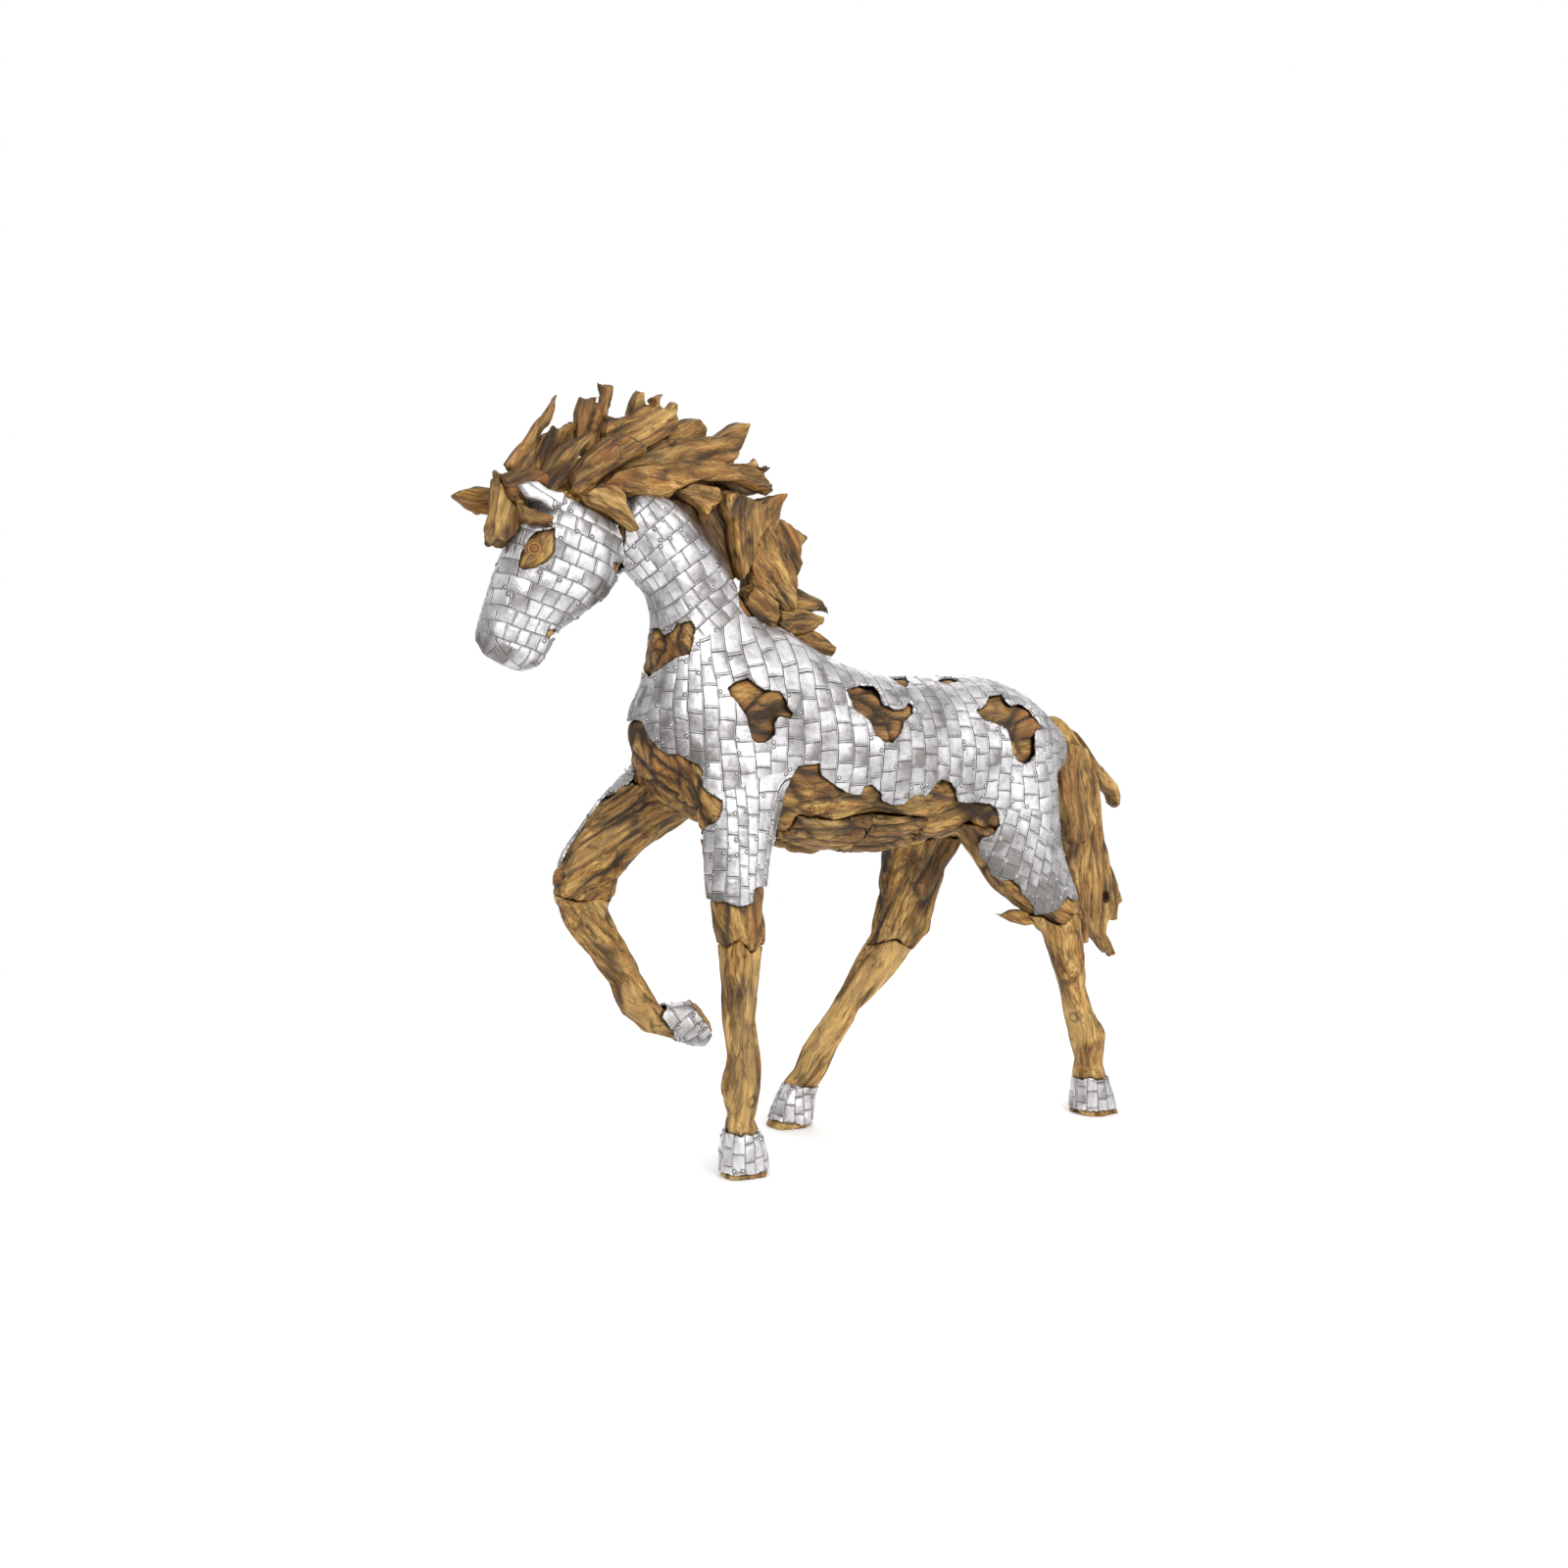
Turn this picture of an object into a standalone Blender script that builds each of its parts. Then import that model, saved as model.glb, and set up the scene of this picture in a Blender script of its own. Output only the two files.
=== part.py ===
"""Life-size walking horse of assembled root wood, partly clad in hammered metal plates.

The head points to -X, the horse's left side to -Y, and the finished figure stands on z = 0. Every
station and outline is written in metres for a horse that is 1.432 m high at the withers and is
scaled from there, so the pose and the proportions stay shares of the figure's own height.
"""
import math
import random

import bmesh
import bpy
from mathutils import Vector, noise

WITHERS_HEIGHT = 1.432
STATION_HEIGHT = 1.432
SCALE = WITHERS_HEIGHT / STATION_HEIGHT

PLATE_THICKNESS = 0.0030
PIECE_GAP = 0.0003
BLADE_EDGE = 0.30
HOOF_RIM = 0.018
CARVING_DEPTH = 0.006
CARVING_LENGTH = 0.09
BODY_VOXEL = 0.016
BODY_TRIANGLES = 1150
BODY_SMOOTHING = 4
RING_SIDES = 20
RING_POWER = 2.25
FLATNESS = 0.2
WELD = 0.00002
SLIVER = 0.00001
SHARP_DEGREES = 40.0
TRIM_SHARE = 1.2

# How far cutters reach to each side, how far from the middle plane one side's cutters begin, how far
# the two halves of the body's metal pass the middle, and where the forearm's metal begins.
SIDE_REACH = 0.60
MIDDLE_CLEARANCE = 0.020
METAL_OVERLAP = 0.005
FOREARM_PLATE_INNER = 0.165
WHOLE_WIDTH = (-SIDE_REACH, SIDE_REACH)
LEFT_SIDE = (-SIDE_REACH, -MIDDLE_CLEARANCE)
RIGHT_SIDE = (MIDDLE_CLEARANCE, SIDE_REACH)

# The soles' level and the y of each hoof, in station metres.
SOLE_LEVEL = -0.012
LEFT_FORE_Y = -0.190
RIGHT_FORE_Y = 0.160
LEFT_HIND_Y = -0.180
RIGHT_HIND_Y = 0.145

OBJECT_NAME = "root_wood_horse"

# x, lowest z, highest z and half width of the trunk, from the breast to the dock.
TRUNK = (
    (-0.335, 1.03, 1.17, 0.050),
    (-0.308, 0.985, 1.23, 0.100),
    (-0.250, 0.935, 1.29, 0.145),
    (-0.165, 0.885, 1.35, 0.182),
    (-0.055, 0.845, 1.40, 0.202),
    (0.060, 0.812, 1.410, 0.214),
    (0.170, 0.790, 1.340, 0.234),
    (0.300, 0.778, 1.295, 0.248),
    (0.440, 0.782, 1.275, 0.248),
    (0.580, 0.800, 1.280, 0.238),
    (0.720, 0.860, 1.285, 0.230),
    (0.850, 0.900, 1.252, 0.208),
    (0.945, 0.940, 1.185, 0.170),
    (1.020, 0.990, 1.130, 0.115),
    (1.055, 1.030, 1.095, 0.060),
)

# x, y, z, half depth and half width along each limb, neck and head.
NECK = (
    (-0.060, 0.0, 1.090, 0.225, 0.170),
    (-0.100, 0.0, 1.220, 0.200, 0.150),
    (-0.129, 0.0, 1.330, 0.177, 0.130),
    (-0.156, 0.0, 1.440, 0.123, 0.112),
    (-0.208, 0.0, 1.540, 0.106, 0.100),
    (-0.284, 0.0, 1.620, 0.112, 0.090),
    (-0.375, 0.0, 1.660, 0.096, 0.078),
)
HEAD = (
    (-0.440, 0.0, 1.680, 0.088, 0.060),
    (-0.474, 0.0, 1.632, 0.136, 0.085),
    (-0.532, 0.0, 1.547, 0.150, 0.095),
    (-0.593, 0.0, 1.466, 0.117, 0.079),
    (-0.638, 0.0, 1.392, 0.093, 0.060),
    (-0.660, 0.0, 1.340, 0.090, 0.058),
    (-0.677, 0.0, 1.303, 0.079, 0.053),
    (-0.686, 0.0, 1.281, 0.052, 0.036),
)
LEFT_FORELEG = (
    (-0.094, -0.100, 1.120, 0.150, 0.085),
    (-0.110, -0.132, 0.980, 0.130, 0.085),
    (-0.122, -0.155, 0.860, 0.099, 0.072),
    (-0.132, -0.172, 0.740, 0.080, 0.062),
    (-0.134, -0.184, 0.650, 0.075, 0.056),
    (-0.127, LEFT_FORE_Y, 0.565, 0.062, 0.052),
    (-0.129, LEFT_FORE_Y, 0.480, 0.054, 0.045),
    (-0.130, LEFT_FORE_Y, 0.350, 0.044, 0.038),
    (-0.126, LEFT_FORE_Y, 0.262, 0.046, 0.042),
    (-0.122, LEFT_FORE_Y, 0.212, 0.058, 0.048),
    (-0.125, LEFT_FORE_Y, 0.150, 0.039, 0.039),
    (-0.127, LEFT_FORE_Y, 0.095, 0.044, 0.044),
    (-0.126, LEFT_FORE_Y, 0.060, 0.046, 0.046),
)
RIGHT_FORELEG = (
    (-0.080, 0.100, 1.080, 0.145, 0.085),
    (-0.156, 0.128, 0.996, 0.118, 0.086),
    (-0.232, 0.145, 0.926, 0.100, 0.080),
    (-0.316, 0.155, 0.852, 0.093, 0.072),
    (-0.391, RIGHT_FORE_Y, 0.765, 0.086, 0.064),
    (-0.420, RIGHT_FORE_Y, 0.690, 0.078, 0.060),
    (-0.403, RIGHT_FORE_Y, 0.625, 0.067, 0.056),
    (-0.348, RIGHT_FORE_Y, 0.545, 0.055, 0.050),
    (-0.296, RIGHT_FORE_Y, 0.455, 0.046, 0.042),
    (-0.258, RIGHT_FORE_Y, 0.378, 0.054, 0.044),
    (-0.217, RIGHT_FORE_Y, 0.338, 0.044, 0.038),
    (-0.165, RIGHT_FORE_Y, 0.322, 0.044, 0.042),
)
LEFT_HINDLEG = (
    (0.750, -0.090, 1.080, 0.195, 0.118),
    (0.762, -0.122, 0.960, 0.182, 0.116),
    (0.774, -0.140, 0.850, 0.165, 0.104),
    (0.822, -0.156, 0.735, 0.130, 0.086),
    (0.888, -0.170, 0.650, 0.095, 0.070),
    (0.941, LEFT_HIND_Y, 0.560, 0.073, 0.056),
    (0.967, LEFT_HIND_Y, 0.450, 0.053, 0.047),
    (0.993, LEFT_HIND_Y, 0.355, 0.042, 0.041),
    (1.014, LEFT_HIND_Y, 0.285, 0.044, 0.042),
    (1.048, LEFT_HIND_Y, 0.215, 0.060, 0.050),
    (1.055, LEFT_HIND_Y, 0.150, 0.042, 0.042),
    (1.060, LEFT_HIND_Y, 0.095, 0.046, 0.046),
    (1.064, LEFT_HIND_Y, 0.060, 0.050, 0.048),
)
RIGHT_HINDLEG = (
    (0.740, 0.090, 1.080, 0.195, 0.118),
    (0.715, 0.120, 0.960, 0.178, 0.116),
    (0.682, 0.135, 0.840, 0.142, 0.100),
    (0.642, 0.142, 0.740, 0.108, 0.086),
    (0.622, RIGHT_HIND_Y, 0.640, 0.094, 0.072),
    (0.604, RIGHT_HIND_Y, 0.560, 0.096, 0.062),
    (0.548, RIGHT_HIND_Y, 0.475, 0.073, 0.054),
    (0.464, RIGHT_HIND_Y, 0.382, 0.053, 0.047),
    (0.392, RIGHT_HIND_Y, 0.300, 0.044, 0.042),
    (0.346, RIGHT_HIND_Y, 0.240, 0.043, 0.042),
    (0.308, RIGHT_HIND_Y, 0.185, 0.051, 0.048),
    (0.274, RIGHT_HIND_Y, 0.128, 0.042, 0.042),
    (0.248, RIGHT_HIND_Y, 0.090, 0.046, 0.044),
)

# Hooves: crown centre, crown halves, lowest centre, lowest halves. The last one is raised.
HOOVES = (
    ((-0.124, LEFT_FORE_Y, 0.095), (0.055, 0.054), (-0.115, LEFT_FORE_Y, -0.04), (0.069, 0.062)),
    ((1.065, LEFT_HIND_Y, 0.092), (0.058, 0.056), (1.072, LEFT_HIND_Y, -0.04), (0.079, 0.066)),
    ((0.238, RIGHT_HIND_Y, 0.105), (0.055, 0.052), (0.202, RIGHT_HIND_Y, -0.04), (0.072, 0.062)),
    ((-0.174, RIGHT_FORE_Y, 0.333), (0.049, 0.048), (-0.035, RIGHT_FORE_Y, 0.302), (0.074, 0.060)),
)
RAISED_HOOF_DEPTH_AXIS = (0.24, 0.0, 0.97)
RAISED_ABOVE = 0.1
# Share of the way from crown to lowest ring, and how much the oval there swells.
HOOF_RINGS = ((0.0, 0.86), (0.12, 1.0), (0.55, 1.04), (1.0, 1.0))

# Seams between the wooden pieces, as x and z seen from the side.
THROAT_SEAM = ((-0.42, 1.20), (-0.345, 1.44), (-0.385, 1.56), (-0.415, 1.66), (-0.44, 1.90))
NECK_SEAM = ((-0.50, 1.20), (-0.24, 1.235), (-0.08, 1.30), (0.03, 1.345), (0.25, 1.50))
LEFT_ELBOW = ((-0.34, 0.88), (-0.26, 0.865), (-0.18, 0.84), (-0.10, 0.87), (-0.02, 0.835),
              (0.055, 0.86))
LEFT_KNEE = ((-0.34, 0.59), (-0.18, 0.575), (-0.15, 0.60), (-0.12, 0.56), (-0.085, 0.585),
             (-0.06, 0.555), (0.055, 0.58))
RIGHT_ELBOW = ((-0.60, 1.06), (-0.36, 1.03), (-0.27, 0.97), (-0.21, 0.985), (-0.13, 0.915),
               (-0.06, 0.90), (0.0, 0.82))
RIGHT_KNEE = ((-0.60, 0.73), (-0.45, 0.675), (-0.38, 0.68), (-0.30, 0.63), (0.0, 0.60))
LEFT_GROIN = ((0.52, 0.80), (0.60, 0.86), (0.70, 0.84), (0.80, 0.89), (0.90, 0.86), (1.25, 0.90))
LEFT_HOCK = ((0.52, 0.62), (0.84, 0.590), (0.90, 0.555), (0.96, 0.590), (1.02, 0.560), (1.25, 0.58))
RIGHT_GROIN = ((0.46, 0.78), (0.52, 0.79), (0.62, 0.83), (0.74, 0.80), (0.98, 0.84))
RIGHT_HOCK = ((0.30, 0.52), (0.47, 0.485), (0.55, 0.505), (0.62, 0.465), (0.98, 0.47))

BELLY_FRONT = ((0.06, 0.60), (0.06, 0.90), (0.16, 0.885), (0.27, 0.90), (0.27, 0.60))
BELLY_REAR = ((0.27, 0.60), (0.27, 0.90), (0.40, 0.89), (0.455, 0.88), (0.455, 0.60))

RAISED_SOLE = ((-0.118, 0.420), (-0.098, 0.385), (-0.012, 0.238), (-0.030, 0.17))

# Edges of the metal, as x and z seen from the horse's left side.
BREAST_EDGE = ((-0.50, 1.17), (-0.38, 1.15), (-0.345, 1.145), (-0.33, 1.11), (-0.305, 1.085),
               (-0.25, 1.07), (-0.22, 1.045), (-0.245, 0.99))
LEFT_LOWER_EDGE = (
    (-0.20, 0.96), (-0.18, 0.94), (-0.19, 0.90), (-0.235, 0.875), (-0.235, 0.71),
    (-0.20, 0.69), (-0.14, 0.67), (-0.10, 0.68), (-0.10, 0.72), (-0.03, 0.73), (-0.01, 0.80),
    (0.03, 1.02), (0.09, 1.03), (0.09, 1.005), (0.13, 0.98), (0.18, 0.95), (0.22, 0.96),
    (0.23, 0.98), (0.27, 0.97), (0.28, 0.94), (0.33, 0.92), (0.39, 0.92), (0.46, 0.97),
    (0.50, 0.99), (0.53, 0.97), (0.54, 0.93), (0.65, 0.92), (0.67, 0.88), (0.66, 0.83),
    (0.60, 0.82), (0.60, 0.77), (0.64, 0.71), (0.71, 0.70), (0.75, 0.67), (0.80, 0.60),
    (0.89, 0.60), (0.91, 0.64), (0.97, 0.65), (1.30, 0.70))
RIGHT_LOWER_EDGE = (
    (-0.50, 1.15), (-0.38, 1.12), (-0.30, 1.05), (-0.20, 1.02), (-0.10, 0.97), (0.0, 0.99),
    (0.05, 1.03), (0.14, 0.99), (0.22, 0.95), (0.33, 0.97), (0.42, 0.92), (0.50, 0.96),
    (0.57, 0.90), (0.56, 0.79), (0.62, 0.73), (0.70, 0.75), (0.80, 0.72), (1.30, 0.80))
HEAD_TOP_EDGE = ((-0.385, 1.560), (-0.400, 1.608), (-0.412, 1.634), (-0.451, 1.646), (-0.507, 1.670),
                 (-0.548, 1.692), (-0.600, 1.690), (-0.625, 1.655), (-0.665, 1.630), (-0.690, 1.575),
                 (-0.95, 1.575))
CREST_EDGE = ((-0.385, 1.655), (-0.400, 1.688), (-0.378, 1.707), (-0.305, 1.712), (-0.260, 1.704),
              (-0.215, 1.675), (-0.177, 1.656), (-0.163, 1.610), (-0.111, 1.578), (-0.095, 1.524),
              (-0.072, 1.497), (-0.084, 1.437), (-0.060, 1.414), (0.090, 1.425), (0.110, 1.360))
LEFT_WINDOWS = {
    "shoulder": ((-0.17, 1.23), (-0.13, 1.25), (-0.09, 1.24), (-0.05, 1.23), (-0.01, 1.22),
                 (0.03, 1.16), (-0.02, 1.16), (-0.03, 1.12), (-0.06, 1.08), (-0.09, 1.09),
                 (-0.12, 1.16)),
    "flank": ((0.17, 1.22), (0.24, 1.24), (0.28, 1.22), (0.30, 1.18), (0.34, 1.17), (0.38, 1.20),
              (0.38, 1.17), (0.35, 1.13), (0.32, 1.08), (0.28, 1.08), (0.22, 1.14), (0.19, 1.18)),
    "hip": ((0.62, 1.18), (0.66, 1.22), (0.72, 1.23), (0.77, 1.19), (0.81, 1.19), (0.85, 1.12),
            (0.83, 1.10), (0.82, 1.04), (0.79, 1.03), (0.74, 1.06), (0.72, 1.13), (0.64, 1.16)),
    "neck_base": ((-0.36, 1.37), (-0.31, 1.38), (-0.28, 1.36), (-0.26, 1.40), (-0.22, 1.40),
                  (-0.21, 1.36), (-0.23, 1.31), (-0.28, 1.30), (-0.31, 1.27), (-0.36, 1.25)),
}
RIGHT_WINDOWS = {
    "shoulder": ((-0.12, 1.24), (-0.02, 1.26), (0.02, 1.20), (-0.03, 1.12), (-0.10, 1.13)),
    "flank": ((0.33, 1.20), (0.42, 1.22), (0.52, 1.17), (0.44, 1.13), (0.37, 1.09), (0.34, 1.14)),
    "hip": ((0.68, 1.17), (0.74, 1.21), (0.84, 1.18), (0.80, 1.08), (0.72, 1.10)),
}
EYE_WINDOW = ((-0.670, 1.51), (-0.655, 1.55), (-0.630, 1.585), (-0.600, 1.60), (-0.580, 1.60),
              (-0.580, 1.55), (-0.600, 1.53), (-0.655, 1.50))
FOREARM_PLATE = ((-0.45, 1.04), (-0.53, 0.86), (-0.53, 0.78), (-0.455, 0.755), (-0.40, 0.80),
                 (-0.33, 0.80), (-0.27, 0.86), (-0.16, 0.88), (-0.12, 0.94), (-0.20, 0.985),
                 (-0.30, 1.015))
RAISED_HOOF_PLATE = ((-0.178, 0.42), (-0.165, 0.34), (-0.175, 0.25), (-0.16, 0.17), (0.0, 0.17),
                     (-0.045, 0.262), (-0.060, 0.272), (-0.085, 0.33), (-0.139, 0.42))

# Metal bands of the hooves on the ground: name, x from, x to, y range, height of the torn edge.
HOOF_BANDS = (
    ("left_fore_hoof_cladding", -0.30, 0.05, LEFT_SIDE, 0.092),
    ("left_hind_hoof_cladding", 0.90, 1.25, LEFT_SIDE, 0.088),
    ("right_hind_hoof_cladding", 0.05, 0.40, RIGHT_SIDE, 0.094),
)
BAND_STEPS = 7
BAND_TEAR = 0.006

# Loose wooden locks: name, y of the middle, thickness, lean sideways per metre of height, outline.
LOCKS = (
    ("cheek_lock", -0.082, 0.045, 0.10, (
        (-0.515, 1.690), (-0.484, 1.712), (-0.434, 1.722), (-0.405, 1.700), (-0.376, 1.656),
        (-0.350, 1.622), (-0.373, 1.618), (-0.413, 1.636), (-0.448, 1.653), (-0.495, 1.670))),
    ("mane_slab_low", -0.052, 0.060, 0.12, (
        (-0.468, 1.726), (-0.411, 1.768), (-0.323, 1.790), (-0.210, 1.806), (-0.125, 1.818),
        (-0.070, 1.806), (-0.022, 1.779), (0.050, 1.758), (0.022, 1.742), (-0.054, 1.760),
        (-0.133, 1.760), (-0.203, 1.745), (-0.256, 1.718), (-0.300, 1.705), (-0.411, 1.700))),
    ("mane_ridged", -0.048, 0.060, 0.15, (
        (-0.530, 1.705), (-0.523, 1.751), (-0.505, 1.782), (-0.466, 1.818), (-0.430, 1.842),
        (-0.387, 1.850), (-0.341, 1.834), (-0.335, 1.820), (-0.394, 1.780), (-0.440, 1.745),
        (-0.470, 1.715), (-0.500, 1.690))),
    ("mane_fork_drop", -0.050, 0.050, 0.0, (
        (-0.246, 1.735), (-0.200, 1.752), (-0.123, 1.752), (-0.103, 1.725), (-0.123, 1.702),
        (-0.142, 1.694), (-0.148, 1.673), (-0.162, 1.656), (-0.176, 1.688), (-0.212, 1.710))),
    ("mane_broad_drop", -0.045, 0.055, 0.0, (
        (-0.106, 1.740), (-0.062, 1.748), (-0.014, 1.736), (0.027, 1.711), (0.037, 1.674),
        (0.006, 1.640), (-0.014, 1.568), (-0.038, 1.534), (-0.056, 1.508), (-0.068, 1.533),
        (-0.080, 1.592), (-0.090, 1.661), (-0.112, 1.705))),
    ("mane_blade", -0.035, 0.035, 0.20, (
        (-0.618, 1.742), (-0.598, 1.738), (-0.571, 1.768), (-0.543, 1.804), (-0.514, 1.833),
        (-0.486, 1.851), (-0.466, 1.856), (-0.478, 1.828), (-0.497, 1.803), (-0.508, 1.772),
        (-0.522, 1.740), (-0.557, 1.705), (-0.600, 1.700))),
    ("mane_slab_high", -0.012, 0.056, 0.05, (
        (-0.440, 1.745), (-0.381, 1.795), (-0.314, 1.832), (-0.269, 1.857), (-0.193, 1.872),
        (-0.115, 1.886), (-0.083, 1.909), (-0.047, 1.932), (-0.009, 1.934), (-0.029, 1.887),
        (-0.046, 1.850), (-0.060, 1.822), (-0.154, 1.780), (-0.262, 1.745), (-0.380, 1.725))),
    ("mane_three_tips", -0.004, 0.048, 0.0, (
        (-0.431, 1.840), (-0.418, 1.914), (-0.376, 1.912), (-0.354, 1.925), (-0.343, 1.962),
        (-0.328, 1.988), (-0.311, 1.983), (-0.304, 1.957), (-0.289, 1.955), (-0.293, 1.974),
        (-0.251, 1.990), (-0.264, 1.962), (-0.251, 1.949), (-0.232, 1.972), (-0.213, 1.968),
        (-0.216, 1.938), (-0.214, 1.905), (-0.245, 1.872), (-0.302, 1.840), (-0.360, 1.815))),
    ("mane_tall_fork", 0.022, 0.040, 0.05, (
        (-0.488, 1.800), (-0.489, 1.920), (-0.475, 1.960), (-0.464, 1.953), (-0.433, 1.963),
        (-0.437, 1.936), (-0.426, 1.945), (-0.423, 1.970), (-0.430, 2.000), (-0.414, 1.994),
        (-0.387, 1.996), (-0.397, 1.946), (-0.402, 1.917), (-0.390, 1.880), (-0.420, 1.830))),
    ("mane_spike", 0.000, 0.034, 0.0, (
        (-0.630, 1.715), (-0.676, 1.764), (-0.645, 1.812), (-0.611, 1.858), (-0.584, 1.893),
        (-0.560, 1.929), (-0.543, 1.954), (-0.544, 1.912), (-0.555, 1.878), (-0.578, 1.856),
        (-0.592, 1.831), (-0.600, 1.790), (-0.590, 1.725))),
    ("mane_ragged_ridge", 0.032, 0.044, 0.10, (
        (-0.611, 1.730), (-0.588, 1.818), (-0.574, 1.848), (-0.548, 1.862), (-0.538, 1.878),
        (-0.526, 1.874), (-0.505, 1.890), (-0.478, 1.895), (-0.470, 1.850), (-0.480, 1.760),
        (-0.530, 1.700))),
    ("mane_block", 0.030, 0.050, 0.10, (
        (-0.245, 1.850), (-0.234, 1.903), (-0.179, 1.927), (-0.144, 1.934), (-0.122, 1.913),
        (-0.124, 1.880), (-0.160, 1.840))),
    ("mane_jagged_tip", 0.025, 0.046, 0.0, (
        (-0.090, 1.780), (-0.060, 1.835), (0.004, 1.842), (0.035, 1.856), (0.041, 1.831),
        (0.058, 1.820), (0.069, 1.841), (0.064, 1.806), (0.089, 1.777), (0.070, 1.762),
        (0.020, 1.758), (-0.050, 1.745))),
    ("mane_board", -0.012, 0.050, 0.0, (
        (-0.260, 1.712), (-0.165, 1.735), (-0.060, 1.700), (-0.050, 1.640), (-0.050, 1.530),
        (-0.080, 1.490), (-0.130, 1.560), (-0.190, 1.640))),
    ("mane_swept_spike", 0.004, 0.042, 0.15, (
        (0.000, 1.730), (0.037, 1.745), (0.083, 1.755), (0.124, 1.764), (0.105, 1.721),
        (0.093, 1.680), (0.074, 1.650), (0.020, 1.640))),
    ("mane_lower_drop", -0.030, 0.050, 0.0, (
        (-0.025, 1.570), (0.004, 1.632), (0.041, 1.574), (0.082, 1.519), (0.126, 1.486),
        (0.126, 1.440), (0.090, 1.438), (0.049, 1.470), (0.012, 1.485), (-0.020, 1.505))),
    ("mane_long_drop", 0.004, 0.048, 0.0, (
        (0.000, 1.660), (0.050, 1.690), (0.087, 1.640), (0.129, 1.580), (0.150, 1.537),
        (0.152, 1.495), (0.129, 1.470), (0.070, 1.500), (0.010, 1.560))),
    ("mane_jagged_back", 0.032, 0.044, 0.0, (
        (0.060, 1.700), (0.142, 1.684), (0.176, 1.666), (0.199, 1.655), (0.175, 1.621),
        (0.172, 1.598), (0.182, 1.580), (0.166, 1.541), (0.120, 1.550), (0.070, 1.610))),
    ("withers_stub", -0.040, 0.080, 0.0, (
        (-0.075, 1.400), (-0.063, 1.442), (-0.048, 1.483), (-0.018, 1.513), (0.015, 1.497),
        (0.060, 1.468), (0.072, 1.430), (0.050, 1.395))),
    ("withers_spike", 0.006, 0.044, 0.0, (
        (0.070, 1.500), (0.143, 1.510), (0.190, 1.498), (0.231, 1.488), (0.255, 1.448),
        (0.216, 1.454), (0.186, 1.440), (0.130, 1.425), (0.070, 1.440))),
    ("withers_chunk", -0.004, 0.056, 0.0, (
        (0.075, 1.455), (0.130, 1.460), (0.184, 1.447), (0.226, 1.438), (0.221, 1.417),
        (0.189, 1.388), (0.163, 1.375), (0.115, 1.370), (0.080, 1.400))),
    ("withers_tail_lock", 0.000, 0.050, 0.0, (
        (0.110, 1.400), (0.154, 1.408), (0.202, 1.395), (0.273, 1.360), (0.265, 1.329),
        (0.219, 1.337), (0.180, 1.340), (0.140, 1.325), (0.105, 1.345))),
    ("far_mane_slab", 0.078, 0.046, 0.0, (
        (-0.480, 1.700), (-0.380, 1.790), (-0.220, 1.830), (-0.080, 1.800), (0.010, 1.745),
        (-0.120, 1.735), (-0.260, 1.700), (-0.380, 1.680))),
    ("far_mane_drop", 0.062, 0.046, 0.0, (
        (-0.150, 1.750), (-0.010, 1.740), (0.060, 1.690), (0.090, 1.590), (0.070, 1.480),
        (0.020, 1.530), (-0.030, 1.600), (-0.110, 1.640))),
    ("far_mane_low", 0.048, 0.046, 0.0, (
        (0.000, 1.560), (0.060, 1.560), (0.130, 1.500), (0.150, 1.420), (0.120, 1.370),
        (0.060, 1.400), (0.000, 1.440))),
    ("brow_band", -0.055, 0.046, 0.0, (
        (-0.709, 1.732), (-0.670, 1.747), (-0.621, 1.752), (-0.590, 1.737), (-0.590, 1.712),
        (-0.636, 1.716), (-0.658, 1.706), (-0.656, 1.675), (-0.648, 1.650), (-0.677, 1.672),
        (-0.697, 1.698))),
    ("eyelid_strip", -0.088, 0.034, 0.0, (
        (-0.674, 1.661), (-0.649, 1.654), (-0.615, 1.647), (-0.585, 1.636), (-0.586, 1.610),
        (-0.615, 1.614), (-0.649, 1.612), (-0.668, 1.626))),
    ("forelock", -0.010, 0.085, 0.0, (
        (-0.707, 1.745), (-0.672, 1.735), (-0.630, 1.735), (-0.610, 1.680), (-0.630, 1.615),
        (-0.655, 1.585), (-0.686, 1.558), (-0.716, 1.562), (-0.730, 1.583), (-0.729, 1.615),
        (-0.716, 1.642), (-0.711, 1.690))),
    ("right_ear", 0.096, 0.034, 0.25, (
        (-0.779, 1.699), (-0.752, 1.714), (-0.719, 1.724), (-0.669, 1.722), (-0.600, 1.700),
        (-0.590, 1.665), (-0.640, 1.650), (-0.674, 1.660), (-0.712, 1.654), (-0.739, 1.668),
        (-0.761, 1.688))),
    ("left_ear", -0.095, 0.030, -0.15, (
        (-0.676, 1.701), (-0.654, 1.712), (-0.623, 1.716), (-0.600, 1.699), (-0.560, 1.693),
        (-0.550, 1.665), (-0.597, 1.648), (-0.617, 1.663), (-0.654, 1.669))),
)
LEG_TWIGS = (
    ("hind_leg_twig", -0.170, 0.024, 0.0, (
        (0.708, 0.600), (0.758, 0.608), (0.815, 0.604), (0.870, 0.600), (0.870, 0.562),
        (0.822, 0.564), (0.765, 0.577), (0.735, 0.588))),
)
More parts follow.
